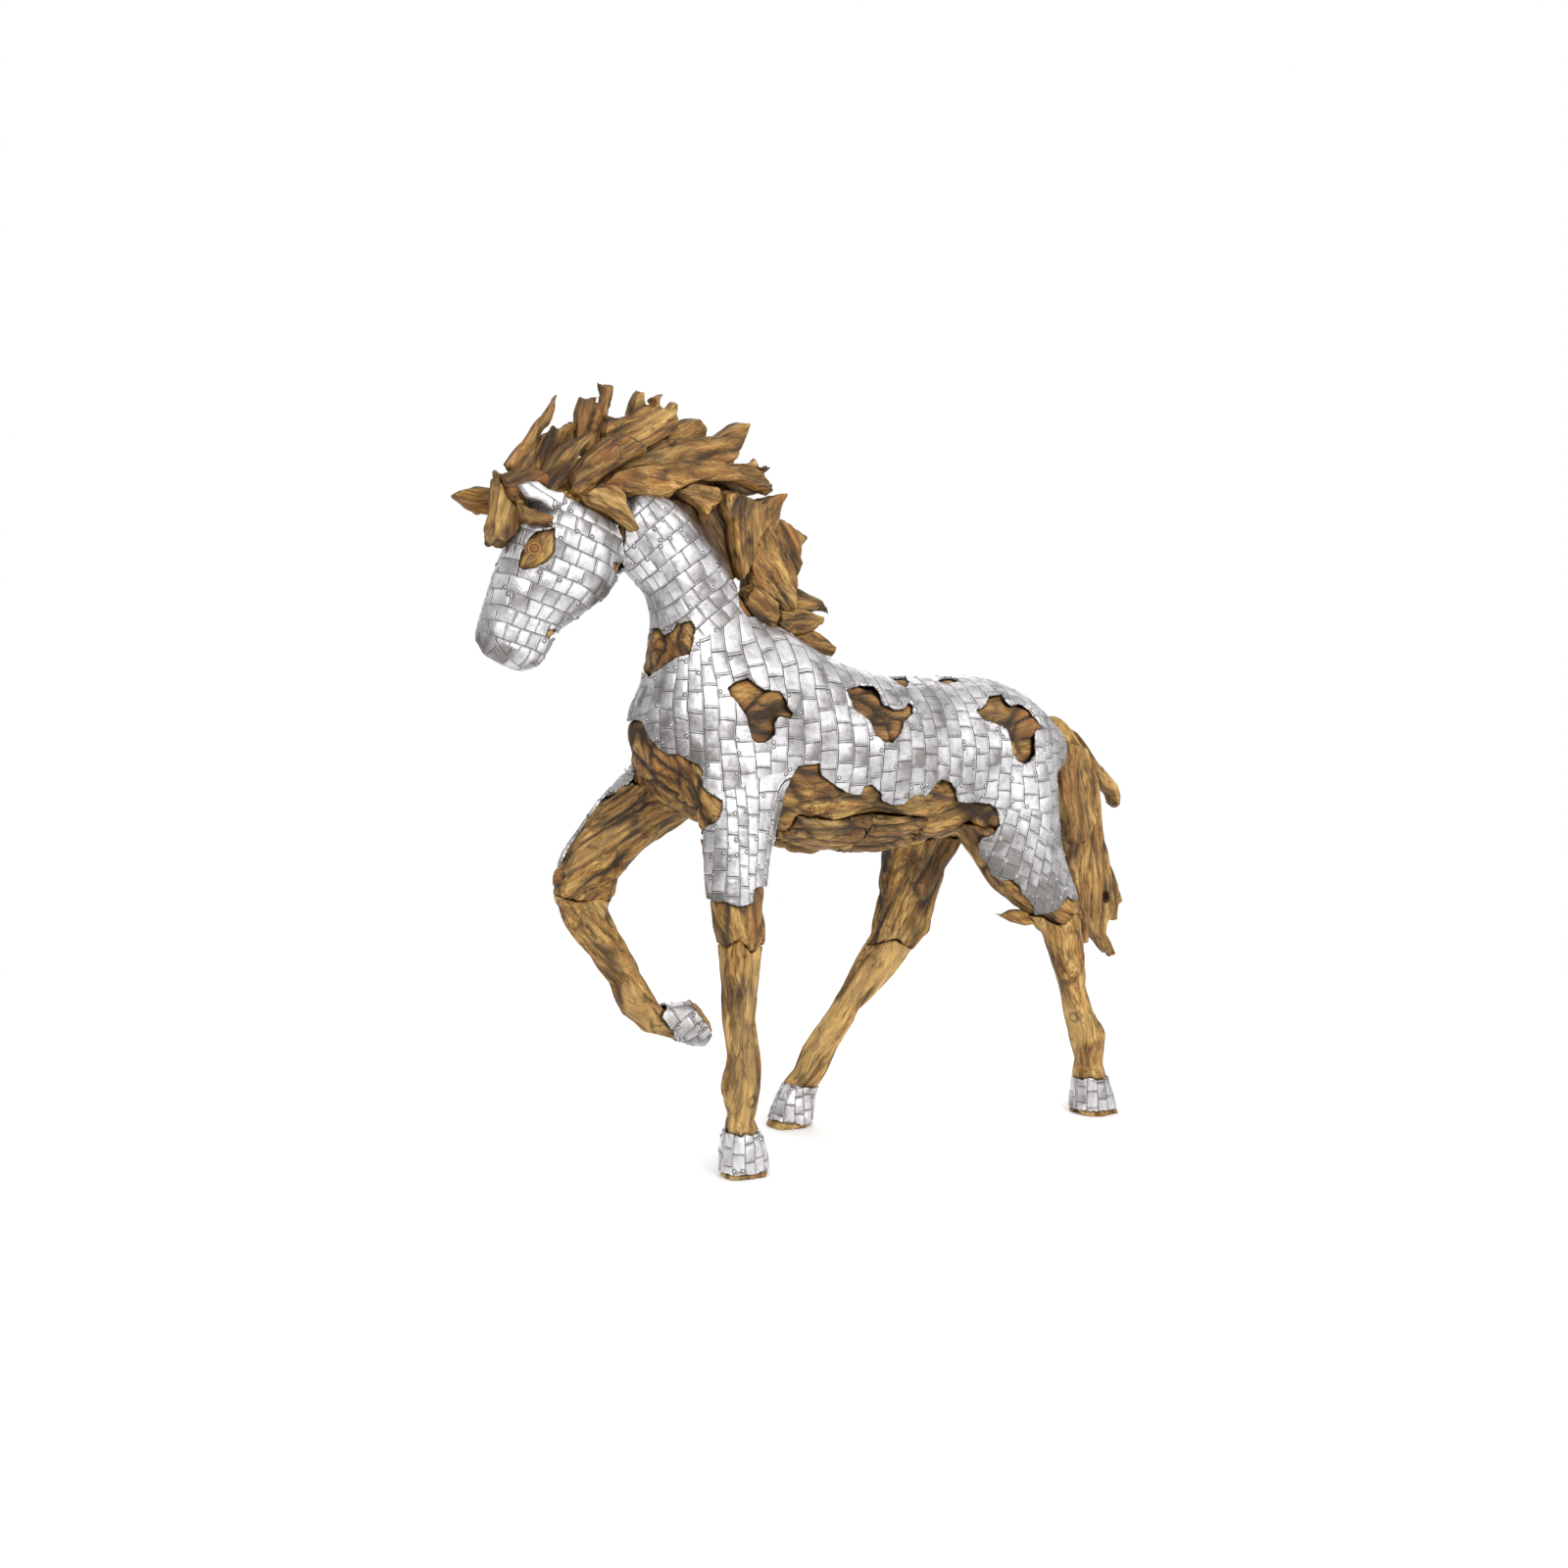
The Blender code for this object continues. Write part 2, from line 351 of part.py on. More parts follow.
TAIL_LOCKS = (
    ("tail_root", 0.000, 0.060, 0.0, (
        (0.990, 1.168), (1.068, 1.166), (1.142, 1.121), (1.195, 1.069), (1.249, 1.001),
        (1.303, 0.956), (1.323, 0.917), (1.323, 0.882), (1.297, 0.883), (1.280, 0.920),
        (1.240, 0.945), (1.195, 1.000), (1.150, 1.030), (1.090, 1.060), (1.000, 1.080))),
    ("tail_front", -0.030, 0.066, 0.0, (
        (1.010, 1.110), (1.083, 1.090), (1.145, 1.074), (1.190, 1.026), (1.209, 0.944),
        (1.206, 0.880), (1.170, 0.782), (1.116, 0.774), (1.080, 0.795), (1.060, 0.868),
        (1.040, 0.946), (1.020, 1.025))),
    ("tail_rear", 0.012, 0.056, 0.0, (
        (1.170, 1.020), (1.210, 0.990), (1.242, 0.946), (1.251, 0.878), (1.271, 0.804),
        (1.287, 0.747), (1.315, 0.680), (1.351, 0.580), (1.334, 0.571), (1.334, 0.518),
        (1.295, 0.520), (1.282, 0.486), (1.323, 0.418), (1.310, 0.407), (1.281, 0.429),
        (1.238, 0.473), (1.200, 0.506), (1.188, 0.622), (1.190, 0.742), (1.180, 0.900))),
    ("tail_strip", -0.012, 0.040, 0.0, (
        (1.095, 0.800), (1.195, 0.800), (1.200, 0.656), (1.186, 0.544), (1.194, 0.461),
        (1.172, 0.462), (1.155, 0.586), (1.123, 0.667))),
)
TAIL_HOLE = ((1.261, 0.617), (1.285, 0.616), (1.287, 0.587), (1.265, 0.584))
TAIL_HOLE_REACH = 0.20

WOOD_COLOUR = (0.40, 0.23, 0.085, 1.0)
DARK_WOOD_COLOUR = (0.26, 0.15, 0.06, 1.0)
METAL_COLOUR = (0.68, 0.67, 0.70, 1.0)


SIDEWAYS = Vector((0, 1, 0))


def clear_scene():
    """Remove every object that the file opened with."""
    for obj in list(bpy.data.objects):
        bpy.data.objects.remove(obj)


def collection(name):
    """Return a new collection linked to the scene."""
    group = bpy.data.collections.new(name)
    bpy.context.scene.collection.children.link(group)
    return group


def material(name, colour, metallic, roughness):
    """Return a Principled material."""
    made = bpy.data.materials.new(name)
    made.use_nodes = True
    shader = made.node_tree.nodes["Principled BSDF"]
    shader.inputs["Base Color"].default_value = colour
    shader.inputs["Metallic"].default_value = metallic
    shader.inputs["Roughness"].default_value = roughness
    return made


def mesh_object(name, vertices, faces, group):
    """Return a mesh object with its faces pointing out, linked to a collection."""
    mesh = bpy.data.meshes.new(name)
    mesh.from_pydata(vertices, [], faces)
    obj = bpy.data.objects.new(name, mesh)
    group.objects.link(obj)
    work = bmesh.new()
    work.from_mesh(mesh)
    bmesh.ops.recalc_face_normals(work, faces=work.faces)
    work.to_mesh(mesh)
    work.free()
    return obj


def oval_ring(centre, depth_axis, half_depth, half_width):
    """Return points round a rounded oval, slightly squarer than an ellipse."""
    ring = []
    for index in range(RING_SIDES):
        angle = 2.0 * math.pi * index / RING_SIDES
        cosine = math.cos(angle)
        sine = math.sin(angle)
        reach = (abs(cosine) ** RING_POWER + abs(sine) ** RING_POWER) ** (-1.0 / RING_POWER)
        offset = depth_axis * (half_depth * reach * cosine) + SIDEWAYS * (half_width * reach * sine)
        ring.append((centre + offset) * SCALE)
    return ring


def loft(name, rings, group):
    """Skin closed rings of equal length into a capped solid."""
    sides = len(rings[0])
    vertices = [point for ring in rings for point in ring]
    faces = []
    for row in range(len(rings) - 1):
        for index in range(sides):
            following = (index + 1) % sides
            faces.append((row * sides + index, row * sides + following,
                          (row + 1) * sides + following, (row + 1) * sides + index))
    faces.append(tuple(reversed(range(sides))))
    faces.append(tuple(range((len(rings) - 1) * sides, len(rings) * sides)))
    return mesh_object(name, vertices, faces, group)


def trunk(group):
    """Loft the trunk through upright ovals from breast to dock."""
    rings = []
    for x, low, high, half_width in TRUNK:
        centre = Vector((x, 0.0, (low + high) / 2.0))
        rings.append(oval_ring(centre, Vector((0, 0, 1)), (high - low) / 2.0, half_width))
    return loft("trunk", rings, group)


def limb(name, stations, group):
    """Loft a limb whose ovals stand square to its centre line."""
    centres = [Vector(station[:3]) for station in stations]
    rings = []
    for index, station in enumerate(stations):
        before = centres[max(index - 1, 0)]
        after = centres[min(index + 1, len(centres) - 1)]
        direction = after - before
        direction.y = 0.0
        direction.normalize()
        depth_axis = Vector((direction.z, 0.0, -direction.x))
        rings.append(oval_ring(centres[index], depth_axis, station[3], station[4]))
    return loft(name, rings, group)


def hoof(index, group):
    """Loft one hoof from its crown to its sole."""
    top, top_halves, sole, sole_halves = HOOVES[index]
    raised = sole[2] > RAISED_ABOVE
    depth_axis = Vector(RAISED_HOOF_DEPTH_AXIS) if raised else Vector((1, 0, 0))
    rings = []
    for share, swell in HOOF_RINGS:
        centre = Vector(top).lerp(Vector(sole), share)
        half_depth = (top_halves[0] + (sole_halves[0] - top_halves[0]) * share) * swell
        half_width = (top_halves[1] + (sole_halves[1] - top_halves[1]) * share) * swell
        rings.append(oval_ring(centre, depth_axis, half_depth, half_width))
    return loft("hoof", rings, group)


def apply_modifiers(obj):
    """Replace an object's mesh by its evaluated one."""
    graph = bpy.context.evaluated_depsgraph_get()
    made = bpy.data.meshes.new_from_object(obj.evaluated_get(graph))
    old = obj.data
    obj.modifiers.clear()
    obj.data = made
    bpy.data.meshes.remove(old)


def boolean(obj, cutter, operation):
    """Apply an exact boolean between two closed meshes."""
    modifier = obj.modifiers.new("Cut", "BOOLEAN")
    modifier.operation = operation
    modifier.solver = "EXACT"
    modifier.object = cutter
    apply_modifiers(obj)


def duplicate(obj, name, group):
    """Return a copy with its own mesh."""
    copy = bpy.data.objects.new(name, obj.data.copy())
    group.objects.link(copy)
    return copy


def inflate(obj, distance):
    """Move every vertex along its normal."""
    modifier = obj.modifiers.new("Inflate", "DISPLACE")
    modifier.mid_level = 0.0
    modifier.strength = distance
    apply_modifiers(obj)


def offset_outline(points, distance):
    """Return a closed outline moved outward by a small distance, for either winding."""
    count = len(points)
    area = sum(points[i][0] * points[(i + 1) % count][1] - points[(i + 1) % count][0] * points[i][1]
               for i in range(count))
    sign = 1.0 if area > 0 else -1.0
    moved = []
    for index in range(count):
        here = Vector(points[index])
        into = (here - Vector(points[index - 1])).normalized()
        out = (Vector(points[(index + 1) % count]) - here).normalized()
        normal_in = Vector((into.y, -into.x)) * sign
        normal_out = Vector((out.y, -out.x)) * sign
        middle = normal_in + normal_out
        middle = middle / max(middle.dot(normal_in), 0.3)
        moved.append(here + middle * distance)
    return moved


def prism(name, outline, y_from, y_to, group, grow=0.0):
    """Extrude an outline of x and z along Y into a closed cutter."""
    points = offset_outline([(x * SCALE, z * SCALE) for x, z in outline], grow)
    count = len(points)
    vertices = [(p[0], y_from * SCALE - grow, p[1]) for p in points]
    vertices += [(p[0], y_to * SCALE + grow, p[1]) for p in points]
    faces = [tuple(range(count)), tuple(reversed(range(count, 2 * count)))]
    for index in range(count):
        following = (index + 1) % count
        faces.append((index, following, count + following, count + index))
    return mesh_object(name, vertices, faces, group)


def keep_largest(obj):
    """Weld the mesh, drop slivers and keep only its largest closed island."""
    work = bmesh.new()
    work.from_mesh(obj.data)
    bmesh.ops.remove_doubles(work, verts=work.verts, dist=WELD)
    bmesh.ops.dissolve_limit(work, angle_limit=math.radians(FLATNESS), verts=work.verts,
                             edges=work.edges, delimit=set())
    bmesh.ops.triangulate(work, faces=work.faces)
    bmesh.ops.dissolve_degenerate(work, edges=work.edges, dist=SLIVER)
    unseen = set(work.verts)
    islands = []
    while unseen:
        start = min(unseen, key=lambda vertex: vertex.index)
        stack = [start]
        unseen.discard(start)
        island = []
        while stack:
            vertex = stack.pop()
            island.append(vertex)
            for edge in vertex.link_edges:
                other = edge.other_vert(vertex)
                if other in unseen:
                    unseen.discard(other)
                    stack.append(other)
        islands.append(island)
    islands.sort(key=island_size, reverse=True)
    extra = [vertex for island in islands[1:] for vertex in island]
    bmesh.ops.delete(work, geom=extra, context="VERTS")
    work.to_mesh(obj.data)
    work.free()


def island_size(island):
    """Return the sum of an island's box sides, enough to rank islands."""
    return sum(max(v.co[axis] for v in island) - min(v.co[axis] for v in island) for axis in range(3))


def remove(objects):
    """Remove scratch objects."""
    for obj in objects:
        bpy.data.objects.remove(obj)


def join_into(target, others):
    """Add the meshes of other objects to the target without welding them."""
    work = bmesh.new()
    work.from_mesh(target.data)
    for obj in others:
        work.from_mesh(obj.data)
    work.to_mesh(target.data)
    work.free()
    remove(others)


def blended_body(group):
    """Blend trunk, neck, head, legs and hooves into one carved surface."""
    body = trunk(group)
    parts = [limb("neck", NECK, group), limb("head", HEAD, group)]
    for name, stations in (("left_fore", LEFT_FORELEG), ("right_fore", RIGHT_FORELEG),
                           ("left_hind", LEFT_HINDLEG), ("right_hind", RIGHT_HINDLEG)):
        parts.append(limb(name, stations, group))
    parts += [hoof(index, group) for index in range(len(HOOVES))]
    join_into(body, parts)
    remesh = body.modifiers.new("Blend", "REMESH")
    remesh.mode = "VOXEL"
    remesh.voxel_size = BODY_VOXEL * SCALE
    smooth = body.modifiers.new("Soften", "SMOOTH")
    smooth.factor = 0.5
    smooth.iterations = BODY_SMOOTHING
    apply_modifiers(body)
    carve_noise(body)
    decimate = body.modifiers.new("Facets", "DECIMATE")
    decimate.ratio = BODY_TRIANGLES / (2.0 * len(body.data.polygons))
    body.modifiers.new("Triangles", "TRIANGULATE")
    apply_modifiers(body)
    return body


def carve_noise(obj):
    """Push the surface in and out a little, as adzed root wood does."""
    for vertex in obj.data.vertices:
        place = vertex.co / (CARVING_LENGTH * SCALE)
        depth = noise.noise(place) * CARVING_DEPTH * SCALE
        vertex.co += vertex.normal * depth


def wood_regions():
    """Return name, outline and y range of each wooden piece cut from the body."""
    head = ((-0.95, 1.20),) + THROAT_SEAM + ((-0.95, 1.90),)
    neck = NECK_SEAM + ((0.25, 1.95),) + tuple(reversed(THROAT_SEAM))[:4]
    left, right = LEFT_SIDE, RIGHT_SIDE
    return (
        ("head", head, WHOLE_WIDTH),
        ("neck", neck, WHOLE_WIDTH),
        ("left_forearm", LEFT_ELBOW + tuple(reversed(LEFT_KNEE)), left),
        ("left_fore_cannon", LEFT_KNEE + ((0.055, SOLE_LEVEL), (-0.34, SOLE_LEVEL)), left),
        ("right_forearm", RIGHT_ELBOW + tuple(reversed(RIGHT_KNEE)), right),
        ("right_fore_cannon", RIGHT_KNEE + RAISED_SOLE + ((-0.60, 0.17),), right),
        ("left_thigh", LEFT_GROIN + tuple(reversed(LEFT_HOCK)), left),
        ("left_hind_cannon", LEFT_HOCK + ((1.25, SOLE_LEVEL), (0.52, SOLE_LEVEL)), left),
        ("right_thigh", RIGHT_GROIN + tuple(reversed(RIGHT_HOCK)), right),
        ("right_hind_cannon", RIGHT_HOCK + ((0.98, SOLE_LEVEL), (0.05, SOLE_LEVEL)), right),
        ("belly_slab_front", BELLY_FRONT, WHOLE_WIDTH),
        ("belly_slab_rear", BELLY_REAR, WHOLE_WIDTH),
    )


def wood_pieces(body, parts, cutters, finish):
    """Part the body along its seams, leaving the working gap at each."""
    rest = duplicate(body, "trunk_wood", parts)
    made = [rest]
    for name, outline, (y_from, y_to) in wood_regions():
        piece = duplicate(rest, name, parts)
        inner = prism("inner", outline, y_from, y_to, cutters, -PIECE_GAP / 2.0)
        outer = prism("outer", outline, y_from, y_to, cutters, PIECE_GAP / 2.0)
        boolean(piece, inner, "INTERSECT")
        boolean(rest, outer, "DIFFERENCE")
        remove([inner, outer])
        made.append(piece)
    for obj in made:
        keep_largest(obj)
        obj.data.materials.clear()
        obj.data.materials.append(finish)
    return made


def plate_shell(body, group):
    """Return the closed skin that all metal plates are cut from."""
    shell = duplicate(body, "plate_shell", group)
    inflate(shell, PIECE_GAP)
    solidify = shell.modifiers.new("Plate", "SOLIDIFY")
    solidify.thickness = PLATE_THICKNESS
    solidify.offset = 1.0
    apply_modifiers(shell)
    return shell


def cut_plate(name, shell, region, windows, parts, cutters, finish):
    """Cut one plate from the shell: a region less its windows, each (outline, y range)."""
    plate = duplicate(shell, name, parts)
    first, (first_from, first_to) = region[0]
    keep = prism("keep", first, first_from, first_to, cutters, -PIECE_GAP / 2.0)
    for outline, (y_from, y_to) in region[1:]:
        more = prism("more", outline, y_from, y_to, cutters, -PIECE_GAP / 2.0)
        boolean(keep, more, "UNION")
        remove([more])
    boolean(plate, keep, "INTERSECT")
    remove([keep])
    for outline, (y_from, y_to) in windows:
        window = prism("window", outline, y_from, y_to, cutters)
        boolean(plate, window, "DIFFERENCE")
        remove([window])
    keep_largest(plate)
    plate.data.materials.clear()
    plate.data.materials.append(finish)
    return plate


def ragged_band(x_from, x_to, z_low, z_high, seed):
    """Return an upright band whose upper edge is torn."""
    rng = random.Random(seed)
    outline = [(x_from, z_low), (x_to, z_low)]
    for index in range(BAND_STEPS + 1):
        x = x_to + (x_from - x_to) * index / BAND_STEPS
        outline.append((x, z_high + rng.uniform(-BAND_TEAR, BAND_TEAR)))
    return outline


def plates(body, parts, cutters, finish):
    """Cut the body, head, forearm and hoof plates."""
    shell = plate_shell(body, cutters)
    throat = tuple(reversed(THROAT_SEAM[1:3]))
    above = ((1.30, 1.95), (0.110, 1.95)) + tuple(reversed(CREST_EDGE)) + throat
    left = BREAST_EDGE + LEFT_LOWER_EDGE + above
    right = RIGHT_LOWER_EDGE + above
    windows = [(outline, LEFT_SIDE) for outline in LEFT_WINDOWS.values()]
    windows += [(outline, RIGHT_SIDE) for outline in RIGHT_WINDOWS.values()]
    face = ((-0.95, 1.20),) + THROAT_SEAM[:2] + HEAD_TOP_EDGE
    plan = [
        ("body_cladding", [(left, (-SIDE_REACH, METAL_OVERLAP)), (right, (0.0, SIDE_REACH))], windows),
        ("head_cladding", [(face, WHOLE_WIDTH)], [(EYE_WINDOW, LEFT_SIDE), (EYE_WINDOW, RIGHT_SIDE)]),
        ("right_forearm_cladding", [(FOREARM_PLATE, (FOREARM_PLATE_INNER, SIDE_REACH))], []),
    ]
    for seed, (name, x_from, x_to, side, top) in enumerate(HOOF_BANDS):
        band = ragged_band(x_from, x_to, SOLE_LEVEL + HOOF_RIM / SCALE, top, seed)
        plan.append((name, [(band, side)], []))
    plan.append(("right_fore_hoof_cladding", [(RAISED_HOOF_PLATE, RIGHT_SIDE)], []))
    made = [cut_plate(name, shell, region, openings, parts, cutters, finish)
            for name, region, openings in plan]
    remove([shell])
    return made


def blade(name, middle, thickness, lean, outline, group):
    """Return a lock: its outline at mid thickness, with both faces drawn in toward its spine."""
    points = [Vector((x, z)) for x, z in outline]
    centre_height = sum(point.y for point in points) / len(points)
    drawn = offset_outline([tuple(point) for point in points], -BLADE_EDGE * thickness * 0.5)
    rings = []
    for side, ring in ((-0.5, drawn), (0.0, points), (0.5, drawn)):
        row = []
        for point in ring:
            y = middle + side * thickness - lean * (point.y - centre_height)
            row.append(Vector((point.x, y, point.y)) * SCALE)
        rings.append(row)
    return loft(name, rings, group)


def boxes_meet(first, second):
    """Tell whether two objects' boxes come within the gap of each other."""
    for axis in range(3):
        low_a = min(v.co[axis] for v in first.data.vertices)
        high_a = max(v.co[axis] for v in first.data.vertices)
        low_b = min(v.co[axis] for v in second.data.vertices)
        high_b = max(v.co[axis] for v in second.data.vertices)
        if high_a + PIECE_GAP < low_b or high_b + PIECE_GAP < low_a:
            return False
    return True


def locks(specs, neighbours, parts, cutters, finishes):
    """Make the loose locks, each trimmed back from everything made before it."""
    made = []
    for name, middle, thickness, lean, outline in specs:
        lock = blade(name, middle, thickness, lean, outline, parts)
        if name == "tail_rear":
            hole = prism("hole", TAIL_HOLE, -TAIL_HOLE_REACH, TAIL_HOLE_REACH, cutters)
            boolean(lock, hole, "DIFFERENCE")
            remove([hole])
        for neighbour in neighbours + made:
            if boxes_meet(lock, neighbour):
                grown = duplicate(neighbour, "grown", cutters)
                inflate(grown, PIECE_GAP * TRIM_SHARE)
                boolean(lock, grown, "DIFFERENCE")
                remove([grown])
        keep_largest(lock)
        lock.data.materials.clear()
        lock.data.materials.append(finishes.get(name, finishes["lock"]))
        made.append(lock)
    return made


def settle(objects):
    """Move every piece so that the figure's box stands centred on the origin."""
    corners = [vertex.co for obj in objects for vertex in obj.data.vertices]
    low = Vector([min(c[axis] for c in corners) for axis in range(3)])
    high = Vector([max(c[axis] for c in corners) for axis in range(3)])
    shift = Vector((-(low.x + high.x) / 2.0, -(low.y + high.y) / 2.0, -low.z))
    for obj in objects:
        for vertex in obj.data.vertices:
            vertex.co += shift
        obj.data.update()


def main():
    """Build the horse."""
    clear_scene()
    parts = collection(OBJECT_NAME)
    cutters = collection("cutters")
    wood = material("root_wood", WOOD_COLOUR, 0.0, 0.55)
    dark = material("dark_root_wood", DARK_WOOD_COLOUR, 0.0, 0.65)
    metal = material("hammered_metal", METAL_COLOUR, 1.0, 0.30)
    body = blended_body(cutters)
    made = wood_pieces(body, parts, cutters, wood)
    made += plates(body, parts, cutters, metal)
    solid = duplicate(body, "body_solid", cutters)
    claddings = [obj for obj in made if obj.name.endswith("cladding")]
    finishes = {"lock": wood, "mane_board": dark, "left_ear": metal}
    made += locks(LOCKS, [solid] + claddings, parts, cutters, finishes)
    made += locks(TAIL_LOCKS + LEG_TWIGS, [solid] + claddings, parts, cutters, finishes)
    remove([solid, body])
    settle(made)
    for obj in made:
        obj.data.shade_smooth()
        obj.data.set_sharp_from_angle(angle=math.radians(SHARP_DEGREES))


if __name__ == "__main__":
    main()
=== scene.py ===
"""Walking horse of root wood, partly clad in small hammered metal tiles.

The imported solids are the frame. Each wooden solid is dressed in a finer skin of itself, with slabs,
cracks and grain worked out with numpy. The metal is a thin sheet laid over the joined wooden solids,
cut to its torn outlines, with its seams and pillowed tiles pressed into it and nail heads on top.
"""
import functools
import itertools
import logging
import math
from dataclasses import dataclass, field, replace
from enum import Enum
from typing import Callable

import bmesh
import bpy
import numpy as np
from mathutils import Matrix, Vector

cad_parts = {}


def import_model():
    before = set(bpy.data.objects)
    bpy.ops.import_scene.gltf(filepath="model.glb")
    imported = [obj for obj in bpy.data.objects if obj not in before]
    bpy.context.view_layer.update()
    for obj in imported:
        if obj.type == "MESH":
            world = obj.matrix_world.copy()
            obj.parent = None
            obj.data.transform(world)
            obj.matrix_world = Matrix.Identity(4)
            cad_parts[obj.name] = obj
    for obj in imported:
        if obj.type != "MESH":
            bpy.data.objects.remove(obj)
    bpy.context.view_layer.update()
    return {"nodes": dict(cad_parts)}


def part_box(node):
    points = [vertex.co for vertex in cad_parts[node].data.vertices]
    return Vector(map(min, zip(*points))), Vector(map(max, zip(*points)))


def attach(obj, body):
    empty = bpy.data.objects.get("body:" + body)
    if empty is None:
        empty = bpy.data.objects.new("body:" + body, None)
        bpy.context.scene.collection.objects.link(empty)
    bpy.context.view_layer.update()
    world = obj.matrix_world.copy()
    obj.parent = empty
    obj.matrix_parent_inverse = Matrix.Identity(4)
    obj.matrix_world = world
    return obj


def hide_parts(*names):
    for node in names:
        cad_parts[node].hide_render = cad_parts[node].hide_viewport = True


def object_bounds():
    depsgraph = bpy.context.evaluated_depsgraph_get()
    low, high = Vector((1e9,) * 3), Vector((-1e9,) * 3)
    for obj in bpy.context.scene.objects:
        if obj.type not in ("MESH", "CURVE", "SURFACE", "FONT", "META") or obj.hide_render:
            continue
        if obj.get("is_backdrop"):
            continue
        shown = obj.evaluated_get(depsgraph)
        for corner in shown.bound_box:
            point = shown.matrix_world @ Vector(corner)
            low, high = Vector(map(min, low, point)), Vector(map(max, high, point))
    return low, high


LOG = logging.getLogger("horse")
BODY = "root"
ORIGIN = np.array((-0.286, -0.0002, 0.01185))  # the drawing's own zero, in the row frame

Outline = tuple[tuple[float, float], ...]


class Slot(Enum):
    """The record's material slots."""

    WOOD = "root_wood"
    DARK_WOOD = "dark_root_wood"
    METAL = "hammered_metal"


# Noise and cells


def scrambled(cells: np.ndarray, seed: int) -> np.ndarray:
    """Give each whole-number cell a value from 0 to 1, by multiplying its places by primes.

    Args:
        cells: whole numbers, three to a row.
        seed: any whole number.

    Returns:
        One value for each row.
    """
    c = cells.astype(np.int64)
    mixed = (c[..., 0] * 73856093) ^ (c[..., 1] * 19349663) ^ (c[..., 2] * 83492791)
    mixed = (mixed ^ (seed * 374761393)) & 0xFFFFFFFF
    mixed = ((mixed ^ (mixed >> 13)) * 1274126177) & 0xFFFFFFFF
    mixed = mixed ^ (mixed >> 16)
    return (mixed & 0xFFFFFF) / float(0xFFFFFF)


def noise(points: np.ndarray, seed: int = 0) -> np.ndarray:
    """Smooth noise from -1 to 1: the eight corners of each cell, blended by an S curve.

    Args:
        points: places, three numbers to a row, in cells.
        seed: any whole number.

    Returns:
        One value for each row.
    """
    low = np.floor(points)
    part = points - low
    ease = part * part * (3.0 - 2.0 * part)
    total = np.zeros(len(points))
    for corner in itertools.product((0, 1), repeat=3):
        weight = np.prod(np.where(corner, ease, 1.0 - ease), axis=1)
        total += weight * scrambled(low + corner, seed)
    return total * 2.0 - 1.0


def layered(points: np.ndarray, seed: int = 0, layers: int = 3) -> np.ndarray:
    """Sum noise at doubling pitch and halving height.

    Args:
        points: places, three numbers to a row, in cells.
        seed: any whole number.
        layers: how many are summed.

    Returns:
        One value for each row.
    """
    total = np.zeros(len(points))
    for layer in range(layers):
        total += noise(points * 2.0 ** layer + 17.3 * layer, seed + layer) / 2.0 ** layer
    return total


def slab_cells(points: np.ndarray, seed: int) -> tuple[np.ndarray, np.ndarray, np.ndarray]:
    """Part space into cells round scattered centres.

    Args:
        points: places, three numbers to a row, in cells.
        seed: any whole number.

    Returns:
        The second nearest centre's distance less the nearest's, the nearest's own value, and the
        distance to the nearest.
    """
    low = np.floor(points)
    near = np.full(len(points), 9.0)
    second = np.full(len(points), 9.0)
    tone = np.zeros(len(points))
    for step in itertools.product((-1, 0, 1), repeat=3):
        cell = low + step
        centre = cell + np.stack([scrambled(cell, seed + k) for k in range(3)], axis=1)
        far = np.linalg.norm(centre - points, axis=1)
        closer = far < near
        second = np.where(closer, near, np.minimum(second, far))
        tone = np.where(closer, scrambled(cell, seed + 9), tone)
        near = np.where(closer, far, near)
    return second - near, tone, near


def ramp(low: float, high: float, value: np.ndarray) -> np.ndarray:
    """Rise smoothly from 0 at low to 1 at high."""
    part = np.clip((value - low) / (high - low), 0.0, 1.0)
    return part * part * (3.0 - 2.0 * part)


def outline_distance(places: np.ndarray, outline: Outline) -> np.ndarray:
    """Distance from each flat place to a closed outline, positive inside it.

    Args:
        places: two numbers to a row.
        outline: the corners in order.

    Returns:
        One signed distance for each row.
    """
    start = np.array(outline, float)
    end = np.roll(start, -1, axis=0)
    best = np.full(len(places), np.inf)
    inside = np.zeros(len(places), bool)
    x, y = places[:, 0], places[:, 1]
    for (ax, ay), (bx, by) in zip(start, end):
        run = np.array((bx - ax, by - ay))
        share = ((x - ax) * run[0] + (y - ay) * run[1]) / max(run @ run, 1e-12)
        share = np.clip(share, 0.0, 1.0)
        gap = np.hypot(x - ax - share * run[0], y - ay - share * run[1])
        best = np.minimum(best, gap)
        if by != ay:
            crosses = (ay > y) != (by > y)
            inside ^= crosses & (x < (bx - ax) * (y - ay) / (by - ay) + ax)
    return np.where(inside, best, -best)


def bell(distance: np.ndarray, reach: float) -> np.ndarray:
    """A bell curve: e to the power of minus the square of distance by reach."""
    return np.exp(-(distance / reach) ** 2)


def fading(depth: np.ndarray, reach: float) -> np.ndarray:
    """One at an edge and beyond it, and less by a factor of e for each reach further in."""
    return np.exp(-np.clip(depth, 0.0, 1.0) / reach)


# Camera


